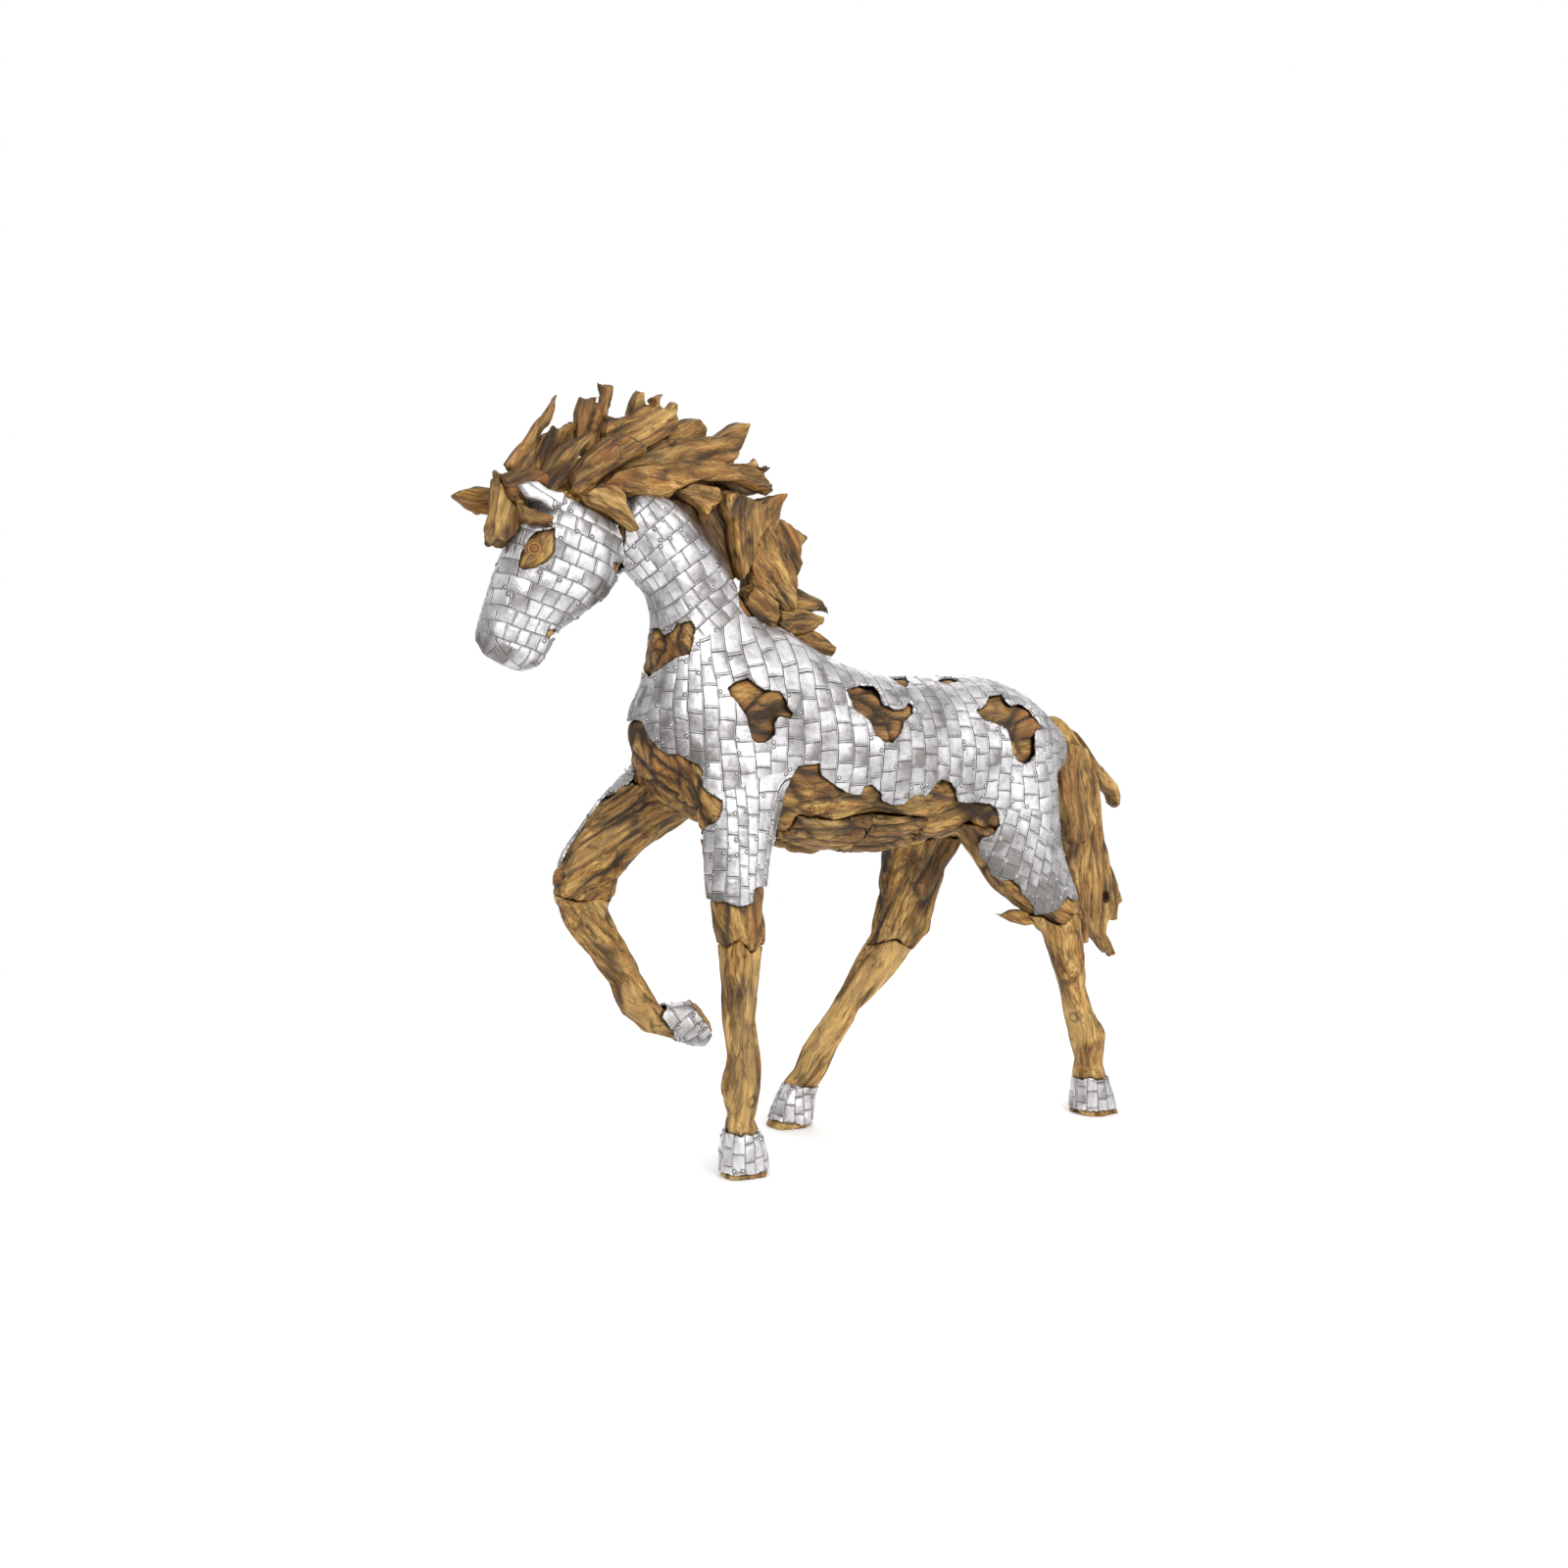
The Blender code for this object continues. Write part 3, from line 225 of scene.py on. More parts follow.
@dataclass(frozen=True)
class PhotoCamera:
    """The photograph's view: its place in the row frame, its direction and its focal length."""

    place: tuple[float, float, float] = (-2.076, -3.2911, 1.11185)
    azimuth_deg: float = 30.0
    pitch_deg: float = 1.88
    focal_px: float = 1421.0
    image_px: float = 1600.0
    sensor_mm: float = 36.0
    clip_far: float = 60.0

    def axes(self) -> tuple[np.ndarray, np.ndarray, np.ndarray]:
        """Right, up and forward, each of length one.

        Returns:
            The three directions.
        """
        turn, dip = math.radians(self.azimuth_deg), math.radians(self.pitch_deg)
        forward = np.array((math.sin(turn) * math.cos(dip), math.cos(turn) * math.cos(dip),
                            -math.sin(dip)))
        right = np.array((math.cos(turn), -math.sin(turn), 0.0))
        return right, np.cross(right, forward), forward

    def seen_at(self, points: np.ndarray) -> np.ndarray:
        """Where each point of the row frame falls in the 1600 pixel image.

        Args:
            points: places in the row frame, one to a row.

        Returns:
            Pixels from the left and from the top, for each.
        """
        right, up, forward = self.axes()
        ray = points - np.array(self.place)
        depth = ray @ forward
        half = self.image_px / 2.0
        return np.stack((half + self.focal_px * (ray @ right) / depth,
                         half - self.focal_px * (ray @ up) / depth), axis=1)

    def metres_per_px(self, points: np.ndarray) -> np.ndarray:
        """How long a pixel is at each point."""
        return ((points - np.array(self.place)) @ self.axes()[2]) / self.focal_px

    def build(self) -> None:
        """Make the camera and set it as the scene's own."""
        data = bpy.data.cameras.new("photo_camera")
        data.sensor_width = self.sensor_mm
        data.lens = self.focal_px * self.sensor_mm / self.image_px
        data.clip_end = self.clip_far
        camera = bpy.data.objects.new("photo_camera", data)
        right, up, forward = self.axes()
        camera.matrix_world = Matrix(((right[0], up[0], -forward[0], self.place[0]),
                                      (right[1], up[1], -forward[1], self.place[1]),
                                      (right[2], up[2], -forward[2], self.place[2]),
                                      (0.0, 0.0, 0.0, 1.0)))
        bpy.context.scene.collection.objects.link(camera)
        bpy.context.scene.camera = camera


CAMERA = PhotoCamera()


# Shells


@dataclass
class Shell:
    """A surface held as arrays: points, and faces that all have the same number of corners."""

    points: np.ndarray
    faces: np.ndarray

    def triangles(self) -> np.ndarray:
        """The faces, each four-cornered one parted into two.

        Returns:
            Three point numbers to a row.
        """
        if self.faces.shape[1] == 3:
            return self.faces
        return np.concatenate((self.faces[:, (0, 1, 2)], self.faces[:, (0, 2, 3)]))

    def normals(self) -> np.ndarray:
        """Outward direction at each point: the mean of its faces' own, weighted by area.

        Returns:
            One direction of length one for each point.
        """
        flat = self.triangles()
        a, b, c = (self.points[flat[:, k]] for k in range(3))
        cross = np.cross(b - a, c - a)
        total = np.zeros_like(self.points)
        for axis in range(3):
            for corner in range(3):
                total[:, axis] += np.bincount(flat[:, corner], cross[:, axis], len(self.points))
        return total / np.maximum(np.linalg.norm(total, axis=1, keepdims=True), 1e-12)

    def links(self) -> np.ndarray:
        """Every pair of neighbouring points, once.

        Returns:
            Two point numbers to a row, the lower first.
        """
        ends = np.roll(self.faces, -1, axis=1)
        pairs = np.stack((self.faces.ravel(), ends.ravel()), axis=1)
        return np.unique(np.sort(pairs, axis=1), axis=0)

    def averaged(self, values: np.ndarray, rounds: int) -> np.ndarray:
        """Blend rows of values half way toward their neighbours' mean, again and again.

        Args:
            values: one row for each point.
            rounds: how many times.

        Returns:
            The blended rows.
        """
        pairs = self.links()
        ends = np.concatenate((pairs[:, 0], pairs[:, 1]))
        others = np.concatenate((pairs[:, 1], pairs[:, 0]))
        count = np.maximum(np.bincount(ends, minlength=len(values)), 1)
        for _ in range(rounds):
            mean = np.stack([np.bincount(ends, values[others, k], len(values)) / count
                             for k in range(values.shape[1])], axis=1)
            values = (values + mean) / 2.0
        return values

    def softened(self, rounds: int, back: int) -> "Shell":
        """Round off the facets, then give back the slow part of what that took away.

        Args:
            rounds: rounds of rounding off.
            back: rounds that pick out the slow part.

        Returns:
            The softer shell.
        """
        calm = self.averaged(self.points, rounds)
        lost = self.averaged(self.points - calm, back)
        return Shell(calm + lost, self.faces)

    def clipped(self, keep: np.ndarray) -> "Shell":
        """Cut the surface along the line where keep, a value for each point, falls to zero.

        Args:
            keep: positive where the surface stays.

        Returns:
            The part that stays, in triangles, with new points along the cut.
        """
        flat = self.triangles()
        stays = keep >= 0.0
        count = stays[flat].sum(axis=1)
        whole = flat[count == 3]
        one, two = flat[count == 1], flat[count == 2]
        one = self._led_by(one, np.argmax(stays[one], axis=1))
        two = self._led_by(two, np.argmin(stays[two], axis=1))
        cut = np.concatenate((one[:, (0, 1)], one[:, (0, 2)], two[:, (0, 1)], two[:, (0, 2)]))
        keys, place = np.unique(np.sort(cut, axis=1), axis=0, return_inverse=True)
        place = place.ravel() + len(self.points)
        low, high = keep[keys[:, 0]], keep[keys[:, 1]]
        share = (low / np.where(low == high, 1.0, low - high))[:, None]
        fresh = self.points[keys[:, 0]] * (1.0 - share) + self.points[keys[:, 1]] * share
        a, b = len(one), len(two)
        first, second = place[:a], place[a:2 * a]
        third, fourth = place[2 * a:2 * a + b], place[2 * a + b:]
        faces = np.concatenate((whole, np.stack((one[:, 0], first, second), axis=1),
                                np.stack((third, two[:, 1], two[:, 2]), axis=1),
                                np.stack((third, two[:, 2], fourth), axis=1)))
        return Shell(np.concatenate((self.points, fresh)), faces).packed()

    @staticmethod
    def _led_by(rows: np.ndarray, lead: np.ndarray) -> np.ndarray:
        """Turn each triangle until the given corner comes first."""
        order = (lead[:, None] + np.arange(3)) % 3
        return np.take_along_axis(rows, order, axis=1)

    def packed(self) -> "Shell":
        """Leave out the points that no face uses."""
        used, faces = np.unique(self.faces, return_inverse=True)
        return Shell(self.points[used], faces.reshape(self.faces.shape))

    def without_islets(self, smallest: int) -> "Shell":
        """Leave out loose scraps that have fewer points than the smallest allowed.

        Args:
            smallest: the fewest points that a part may have.

        Returns:
            The shell without its scraps.
        """
        pairs = self.links()
        mark = np.arange(len(self.points))
        while True:
            low = np.minimum(mark[pairs[:, 0]], mark[pairs[:, 1]])
            fresh = mark.copy()
            np.minimum.at(fresh, pairs[:, 0], low)
            np.minimum.at(fresh, pairs[:, 1], low)
            fresh = fresh[fresh]
            if np.array_equal(fresh, mark):
                break
            mark = fresh
        size = np.bincount(mark, minlength=len(mark))[mark]
        return Shell(self.points, self.faces[size[self.faces[:, 0]] >= smallest]).packed()

    def open_edges(self) -> np.ndarray:
        """The directed sides that only one face uses.

        Returns:
            Two point numbers to a row, in the face's own direction.
        """
        sides = np.stack((self.faces.ravel(), np.roll(self.faces, -1, axis=1).ravel()), axis=1)
        size = len(self.points)
        keys = sides[:, 0] * size + sides[:, 1]
        back = sides[:, 1] * size + sides[:, 0]
        return sides[~np.isin(keys, back)]

    def rimmed(self, depth: float) -> "Shell":
        """Turn the open border inward, as the folded edge of a sheet is: a strip of that depth.

        Args:
            depth: width of the strip.

        Returns:
            The shell with the strip. Its own points keep their places in the list.
        """
        sides = self.open_edges()
        border, local = np.unique(sides, return_inverse=True)
        local = local.reshape(sides.shape) + len(self.points)
        under = self.points[border] - self.normals()[border] * depth
        strip = np.concatenate((np.stack((sides[:, 1], sides[:, 0], local[:, 0]), axis=1),
                                np.stack((sides[:, 1], local[:, 0], local[:, 1]), axis=1)))
        return Shell(np.concatenate((self.points, under)), np.concatenate((self.faces, strip)))

    def held_in(self, box: tuple[np.ndarray, np.ndarray]) -> "Shell":
        """Press every point back into a box, given by its lowest and highest corner."""
        return Shell(np.clip(self.points, box[0], box[1]), self.faces)

    def as_object(self, name: str) -> bpy.types.Object:
        """Put the surface into a new object at the origin, smooth shaded.

        Args:
            name: the object's name.

        Returns:
            The object.
        """
        corners = self.faces.shape[1]
        mesh = bpy.data.meshes.new(name)
        mesh.vertices.add(len(self.points))
        mesh.vertices.foreach_set("co", self.points.astype(np.float32).ravel())
        mesh.loops.add(self.faces.size)
        mesh.loops.foreach_set("vertex_index", self.faces.astype(np.int32).ravel())
        mesh.polygons.add(len(self.faces))
        mesh.polygons.foreach_set("loop_start", np.arange(len(self.faces), dtype=np.int32) * corners)
        mesh.update(calc_edges=True)
        mesh.shade_smooth()
        made = bpy.data.objects.new(name, mesh)
        bpy.context.scene.collection.objects.link(made)
        return made


def shell_of(obj: bpy.types.Object) -> Shell:
    """Read an object's finished mesh, modifiers included, as a shell of triangles or quads.

    Args:
        obj: the object.

    Returns:
        Its shell.
    """
    graph = bpy.context.evaluated_depsgraph_get()
    mesh = obj.evaluated_get(graph).to_mesh()
    points = np.empty(len(mesh.vertices) * 3, np.float32)
    mesh.vertices.foreach_get("co", points)
    sizes = np.empty(len(mesh.polygons), np.int32)
    mesh.polygons.foreach_get("loop_total", sizes)
    corners = np.empty(len(mesh.loops), np.int32)
    mesh.loops.foreach_get("vertex_index", corners)
    width = int(sizes[0])
    if np.any(sizes != width):
        mesh.calc_loop_triangles()
        corners = np.empty(len(mesh.loop_triangles) * 3, np.int32)
        mesh.loop_triangles.foreach_get("vertices", corners)
        width = 3
    return Shell(points.reshape(-1, 3).astype(float), corners.reshape(-1, width).astype(np.int64))


@functools.cache
def whole_box() -> tuple[np.ndarray, np.ndarray]:
    """The lowest and the highest corner of all the solids together."""
    low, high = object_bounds()
    return np.array(low), np.array(high)


def voxelled(sources: list[bpy.types.Object], pitch: float, swell: float = 0.0,
             weld: float = 1e-5) -> Shell:
    """Copy solids, join them, and wrap them in one even skin of small squares.

    Args:
        sources: the solids, which stay as they are.
        pitch: side of a square.
        swell: how far each solid is grown first, so that neighbours run together.
        weld: points nearer than this are one point.

    Returns:
        The skin.
    """
    joined = bmesh.new()
    for source in sources:
        part = bmesh.new()
        part.from_mesh(source.data)
        bmesh.ops.remove_doubles(part, verts=part.verts, dist=weld)
        part.normal_update()
        both = np.array([(vertex.co, vertex.normal) for vertex in part.verts], np.float32)
        mesh = bpy.data.meshes.new("part")
        part.to_mesh(mesh)
        part.free()
        grown = both[:, 0] + both[:, 1] * np.float32(swell)
        mesh.vertices.foreach_set("co", grown.ravel())
        joined.from_mesh(mesh)
        bpy.data.meshes.remove(mesh)
    mesh = bpy.data.meshes.new("joined")
    joined.to_mesh(mesh)
    joined.free()
    work = bpy.data.objects.new("joined", mesh)
    bpy.context.scene.collection.objects.link(work)
    remesh = work.modifiers.new("Squares", "REMESH")
    remesh.mode = "VOXEL"
    remesh.voxel_size = pitch
    skin = shell_of(work)
    bpy.data.objects.remove(work)
    bpy.data.meshes.remove(mesh)
    return skin


def quartered(skin: Shell) -> Shell:
    """Part each square into four: a point in the middle of each square and of each side.

    Args:
        skin: a shell of four-cornered faces.

    Returns:
        A shell with four times as many.
    """
    size = len(skin.points)
    sides = np.sort(np.stack((skin.faces, np.roll(skin.faces, -1, axis=1)), axis=2), axis=2)
    keys, place = np.unique(sides.reshape(-1, 2), axis=0, return_inverse=True)
    place = place.reshape(skin.faces.shape) + size
    middles = skin.points[keys].mean(axis=1)
    centres = skin.points[skin.faces].mean(axis=1)
    centre = np.arange(len(skin.faces)) + size + len(keys)
    faces = [np.stack((skin.faces[:, k], place[:, k], centre, place[:, k - 1]), axis=1)
             for k in range(4)]
    return Shell(np.concatenate((skin.points, middles, centres)), np.concatenate(faces))


def give_value(obj: bpy.types.Object, name: str, values: np.ndarray) -> None:
    """Store one number, or one row of three, for each point of a mesh under a name.

    Args:
        obj: the object.
        name: the name that the finish reads.
        values: one number or one row for each point.
    """
    flat = np.asarray(values, np.float32)
    if flat.ndim == 1:
        obj.data.attributes.new(name, "FLOAT", "POINT").data.foreach_set("value", flat)
    else:
        layer = obj.data.attributes.new(name, "FLOAT_VECTOR", "POINT")
        layer.data.foreach_set("vector", flat.ravel())


def give_tiles(obj: bpy.types.Object, places: np.ndarray) -> None:
    """Store the place among the tiles of each corner of each face, as a UV map."""
    layer = obj.data.uv_layers.new(name="tiles")
    layer.data.foreach_set("uv", np.asarray(places, np.float32).ravel())


def finished(obj: bpy.types.Object, material: bpy.types.Material,
             node: str = "") -> bpy.types.Object:
    """Give a piece its finish and body, and let it stand for its CAD node if it has one.

    Args:
        obj: the piece.
        material: its finish.
        node: the CAD node that it replaces.

    Returns:
        The same piece.
    """
    obj.data.materials.append(material)
    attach(obj, BODY)
    if node:
        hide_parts(node)
    LOG.info("%s: %d faces", obj.name, len(obj.data.polygons))
    return obj


def turned_forms(seats: np.ndarray, facings: np.ndarray, rings: np.ndarray, tip: float,
                 sides: int) -> Shell:
    """Turn one profile at every place, and close each form with a point at its tip.

    Args:
        seats: the places, one to a row.
        facings: the outward direction at each place.
        rings: reach and rise of each ring, the innermost first.
        tip: rise of the tip.
        sides: corners of a ring.

    Returns:
        All the forms. Each has the points of its rings and then its tip.
    """
    helper = np.where(np.abs(facings[:, 2:]) < 0.8, (0.0, 0.0, 1.0), (1.0, 0.0, 0.0))
    first = np.cross(facings, helper)
    first /= np.linalg.norm(first, axis=1, keepdims=True)
    second = np.cross(facings, first)
    reach, rise = rings.T
    turn = np.linspace(0.0, 2.0 * math.pi, sides, endpoint=False)
    wide = (reach[:, None] * np.cos(turn)).reshape(-1, 1)
    up = (reach[:, None] * np.sin(turn)).reshape(-1, 1)
    high = np.repeat(rise, sides)[:, None]
    seat, facing = seats[:, None], facings[:, None]
    round_points = seat + wide * first[:, None] + up * second[:, None] + high * facing
    points = np.concatenate((round_points, seat + facing * tip), axis=1)
    each = points.shape[1]
    k = np.arange(sides)
    after = (k + 1) % sides
    faces = [np.stack((np.full(sides, each - 1), k, after), axis=1)]
    for inner in range(0, sides * (len(rings) - 1), sides):
        a, b, c, d = k + inner, after + inner, k + inner + sides, after + inner + sides
        faces += [np.stack((a, c, d), axis=1), np.stack((a, d, b), axis=1)]
    one = np.concatenate(faces)
    many = one[None] + np.arange(len(seats))[:, None, None] * each
    return Shell(points.reshape(-1, 3), many.reshape(-1, 3))


# Where the metal lies


class Seen(Enum):
    """How an outline is drawn: in the photograph's pixels, or as x and z of the drawing."""

    PHOTO = "photo"
    SIDE = "side"


@dataclass(frozen=True)
class Edge:
    """A closed outline that parts metal from wood."""

    seen: Seen
    corners: Outline

    def depth(self, points: np.ndarray) -> np.ndarray:
        """How far inside the outline each point of the row frame lies, in metres.

        Args:
            points: places in the row frame, one to a row.

        Returns:
            One depth for each, negative outside the outline.
        """
        if self.seen is Seen.SIDE:
            return outline_distance((points - ORIGIN)[:, (0, 2)], self.corners)
        return outline_distance(CAMERA.seen_at(points), self.corners) * CAMERA.metres_per_px(points)


@dataclass(frozen=True)
class MetalMap:
    """The torn outlines of the metal and of the openings in it."""

    left_lower: Edge = Edge(Seen.PHOTO, (
        (590, 801), (640, 801), (645, 795), (647, 790), (645, 785.5), (638, 783), (600, 783),
        (600, 737), (641, 735.5), (649, 733.7), (656.4, 735.9), (659.3, 744.7),
        (665.2, 754.2),
        (672.6, 763), (681.4, 768.9), (693, 769.3), (703.4, 775.5), (713.6, 780.6), (718, 787.2),
        (716.6, 794.6), (718, 803.4), (725.4, 810), (732.7, 813.6), (737.8, 818), (737.8, 825.4),
        (735, 834.2), (730.5, 840), (724, 842.3), (719.8, 845.2), (718, 854.7), (718.8, 869.4),
        (719.8, 888.5), (721, 903), (722.4, 916.4), (732.7, 920), (738.6, 919.3), (746, 922.2),
        (754.7, 925.2), (768, 921.5), (768.7, 907.5), (774.5, 904.6), (788, 904), (790, 860),
        (794, 831), (801, 806), (809, 790), (814, 781), (836, 779), (838, 791), (852, 801),
        (868, 810), (877, 811), (881, 802), (889, 800), (900, 809), (900, 817), (909, 821),
        (922, 820), (927, 814), (938, 810), (944, 812), (951, 804), (960, 795), (971, 798),
        (976, 807), (978, 818), (995, 818), (1011, 820), (1018, 826), (1021, 842), (1014, 852),
        (1002, 855), (999, 860), (1000, 872), (1009, 883), (1011, 891), (1020, 898), (1031, 897),
        (1041, 904), (1044, 913), (1053, 921), (1056, 933), (1075, 930), (1084, 921),
        (1089, 914), (1096, 919), (1103, 913), (1103, 904), (1140, 900), (1200, 600),
        (1000, 300), (560, 300)))
    crest: Edge = Edge(Seen.SIDE, (
        (-0.345, 1.44), (-0.385, 1.560), (-0.385, 1.655), (-0.400, 1.688), (-0.378, 1.707),
        (-0.305, 1.712), (-0.260, 1.704), (-0.215, 1.675), (-0.177, 1.656), (-0.163, 1.610),
        (-0.111, 1.578), (-0.095, 1.524), (-0.072, 1.497), (-0.084, 1.437), (-0.060, 1.414),
        (0.090, 1.425), (0.110, 1.360), (0.30, 1.45), (1.30, 1.45), (1.30, 0.10),
        (-0.60, 0.10), (-0.60, 1.18), (-0.42, 1.20)))
    right_lower: Edge = Edge(Seen.SIDE, (
        (-0.50, 1.15), (-0.38, 1.12), (-0.30, 1.05), (-0.20, 1.02), (-0.10, 0.97), (0.0, 0.99),
        (0.05, 1.03), (0.14, 0.99), (0.22, 0.95), (0.33, 0.97), (0.42, 0.92), (0.50, 0.96),
        (0.57, 0.90), (0.56, 0.79), (0.62, 0.73), (0.70, 0.75), (0.80, 0.72), (1.30, 0.80),
        (1.30, 2.0), (-0.60, 2.0)))
    right_breast: Edge = Edge(Seen.SIDE, (
        (-0.60, 0.915), (-0.40, 0.925), (-0.33, 0.950), (-0.25, 0.99), (-0.18, 1.03),
        (-0.18, 1.12), (-0.60, 1.16)))
    left_windows: tuple[Edge, ...] = (
        Edge(Seen.PHOTO, (
            (742, 702), (750, 696), (763, 691), (769, 696), (777, 702), (783, 704), (796, 705),
            (802, 712), (804, 721), (810, 728), (807, 734), (794, 731), (791, 737), (791, 750),
            (782, 758), (772, 759), (766, 753), (763, 740), (761, 731), (753, 718), (745, 710))),
        Edge(Seen.PHOTO, (
            (863, 704), (877, 699), (892, 700), (898, 707), (901, 718), (914, 724), (922, 723),
            (928, 716), (932, 720), (932, 728), (922, 737), (920, 748), (911, 758), (903, 758),
            (893, 751), (889, 739), (881, 731), (871, 724), (866, 712))),
        Edge(Seen.PHOTO, (
            (995, 725), (1005, 720), (1009, 710), (1022, 708), (1027, 716), (1032, 720),
            (1039, 718), (1048, 720), (1054, 728), (1060, 737), (1066, 745), (1057, 745),
            (1056, 751), (1057, 769), (1051, 777), (1045, 780), (1037, 776), (1032, 768),
            (1030, 755), (1028, 746), (1021, 741), (1005, 736), (998, 730))),
        Edge(Seen.PHOTO, (
            (640, 642), (660, 641), (673, 640), (678, 647), (686, 644), (690, 635), (705, 633),
            (709, 641), (708, 655), (704, 668), (689, 672), (673, 684), (662, 692), (652, 680),
            (640, 670))),
        Edge(Seen.PHOTO, ((906, 692), (925, 691), (928, 697), (925, 703), (916, 699))),
        Edge(Seen.PHOTO, ((955, 697), (960, 692), (970, 691), (983, 697), (967, 699))))
    right_windows: tuple[Edge, ...] = (
        Edge(Seen.SIDE, ((-0.60, 1.018), (-0.31, 1.020), (-0.27, 1.035), (-0.275, 1.10),
                         (-0.29, 1.128), (-0.315, 1.143), (-0.60, 1.146))),
        Edge(Seen.SIDE, ((-0.12, 1.24), (-0.02, 1.26), (0.02, 1.20), (-0.03, 1.12),
                         (-0.10, 1.13))),
        Edge(Seen.SIDE, ((0.33, 1.20), (0.42, 1.22), (0.52, 1.17), (0.44, 1.13), (0.37, 1.09),
                         (0.34, 1.14))),
        Edge(Seen.SIDE, ((0.68, 1.17), (0.74, 1.21), (0.84, 1.18), (0.80, 1.08), (0.72, 1.10))))
    face: Edge = Edge(Seen.SIDE, (
        (-0.95, 1.20), (-0.42, 1.20), (-0.345, 1.44), (-0.385, 1.560), (-0.400, 1.608),
        (-0.412, 1.634), (-0.451, 1.646), (-0.507, 1.670), (-0.548, 1.692), (-0.600, 1.690),
        (-0.625, 1.655), (-0.665, 1.630), (-0.690, 1.575), (-0.95, 1.575)))
    face_windows: tuple[Edge, ...] = (
        Edge(Seen.PHOTO, (
            (547, 542), (559, 540), (565.7, 538.7), (567, 550.8), (565.7, 564.2), (559, 573.6),
            (547, 579), (533.6, 581.9), (528.2, 577.6), (531.6, 562.9), (537.6, 552),
            (543, 545.4))),
        Edge(Seen.PHOTO, (
            (623.3, 573.6), (628.7, 572.9), (631.3, 574.9), (636, 572.2), (642, 571.6),
            (643, 577.6), (640, 583), (634, 591), (628.7, 587), (625.3, 580.3))),
        Edge(Seen.PHOTO, (
            (555, 647.2), (559, 641.9), (569, 640.5), (568, 647.2), (563, 654), (557.7, 650.6))))
    joints: tuple[Outline, ...] = (
        ((788, 700), (773, 711), (764, 723), (756, 731)),
        ((764, 723), (772, 716), (786, 722), (796, 733)),
        ((868, 709), (882, 713), (895, 719), (907, 736), (911, 757)),
        ((895, 719), (910, 729), (922, 735)),
        ((1000, 731), (1014, 736), (1038, 737), (1053, 730)),
        ((1038, 737), (1036, 752), (1044, 768)),
        ((672, 637), (678, 657), (668, 678)),
        ((694, 638), (689, 655), (696, 668)),
        ((650, 744), (663, 768), (684, 786), (704, 801), (712, 824)),
        ((642, 768), (660, 786), (676, 806), (690, 812)),
        ((711, 792), (713, 808), (707, 828)))
    forearm: Edge = Edge(Seen.SIDE, (
        (-0.45, 1.04), (-0.53, 0.86), (-0.53, 0.78), (-0.455, 0.755), (-0.40, 0.80),
        (-0.33, 0.80), (-0.27, 0.86), (-0.16, 0.88), (-0.12, 0.94), (-0.20, 0.985),
        (-0.30, 1.015)))
    throat: Edge = Edge(Seen.SIDE, (
        (-0.95, 1.20), (-0.42, 1.20), (-0.345, 1.44), (-0.385, 1.56), (-0.415, 1.66),
        (-0.44, 1.90), (-0.95, 1.90)))
    # Centre, reach and strength of each patch of painted shade that greys the metal.
    shade_patches: tuple[tuple[tuple[float, float, float], float, float], ...] = (
        ((-0.31, -0.10, 1.10), 0.15, 0.45), ((-0.38, -0.06, 1.36), 0.10, 0.50),
        ((-0.20, -0.10, 1.50), 0.09, 0.35), ((0.69, -0.17, 0.78), 0.09, 1.20),
        ((0.77, -0.17, 0.71), 0.08, 1.10), ((0.85, -0.17, 0.63), 0.10, 1.30),
        ((-0.09, -0.16, 0.62), 0.12, 0.40),
        ((0.36, -0.24, 0.90), 0.16, 0.40), ((-0.735, -0.04, 1.295), 0.06, 1.10),
        ((0.02, -0.26, 1.12), 0.09, 0.35), ((0.98, -0.12, 1.12), 0.10, 0.08))
    shade_waves: float = 11.0
    shade_breaks: float = 0.45
    forearm_side: float = 0.165
    thigh_side: float = 0.145
    thigh_top: float = 0.93
    thigh_lean: float = 2.0
    far_tear: float = 0.011
    far_waves: float = 17.0
    # The front of neck and breast lies beyond a leaning line, given by a place and its normal.
    front_place: tuple[float, float] = (-0.13, 1.30)
    front_normal: tuple[float, float] = (-0.877, -0.48)
    front_from: tuple[float, float] = (0.04, 0.12)
    front_share: float = 0.12
    # Between the forelegs the seen side ends in the middle again, below a steep line.
    gap_place: float = -0.24
    gap_slope: float = 3.0
    gap_from: tuple[float, float] = (1.00, 1.12)

    def seen_side(self, points: np.ndarray) -> np.ndarray:
        """True on the side that the photograph shows: the left, and the front of neck and breast.

        Args:
            points: places in the row frame, one to a row.

        Returns:
            True or false for each.
        """
        flat = (points - ORIGIN)[:, (0, 2)]
        ahead = (flat - np.array(self.front_place)) @ np.array(self.front_normal)
        height = flat[:, 1] - self.gap_slope * (flat[:, 0] - self.gap_place)
        front = ramp(*self.front_from, ahead) * ramp(*self.gap_from, height)
        return points[:, 1] < self.front_share * front

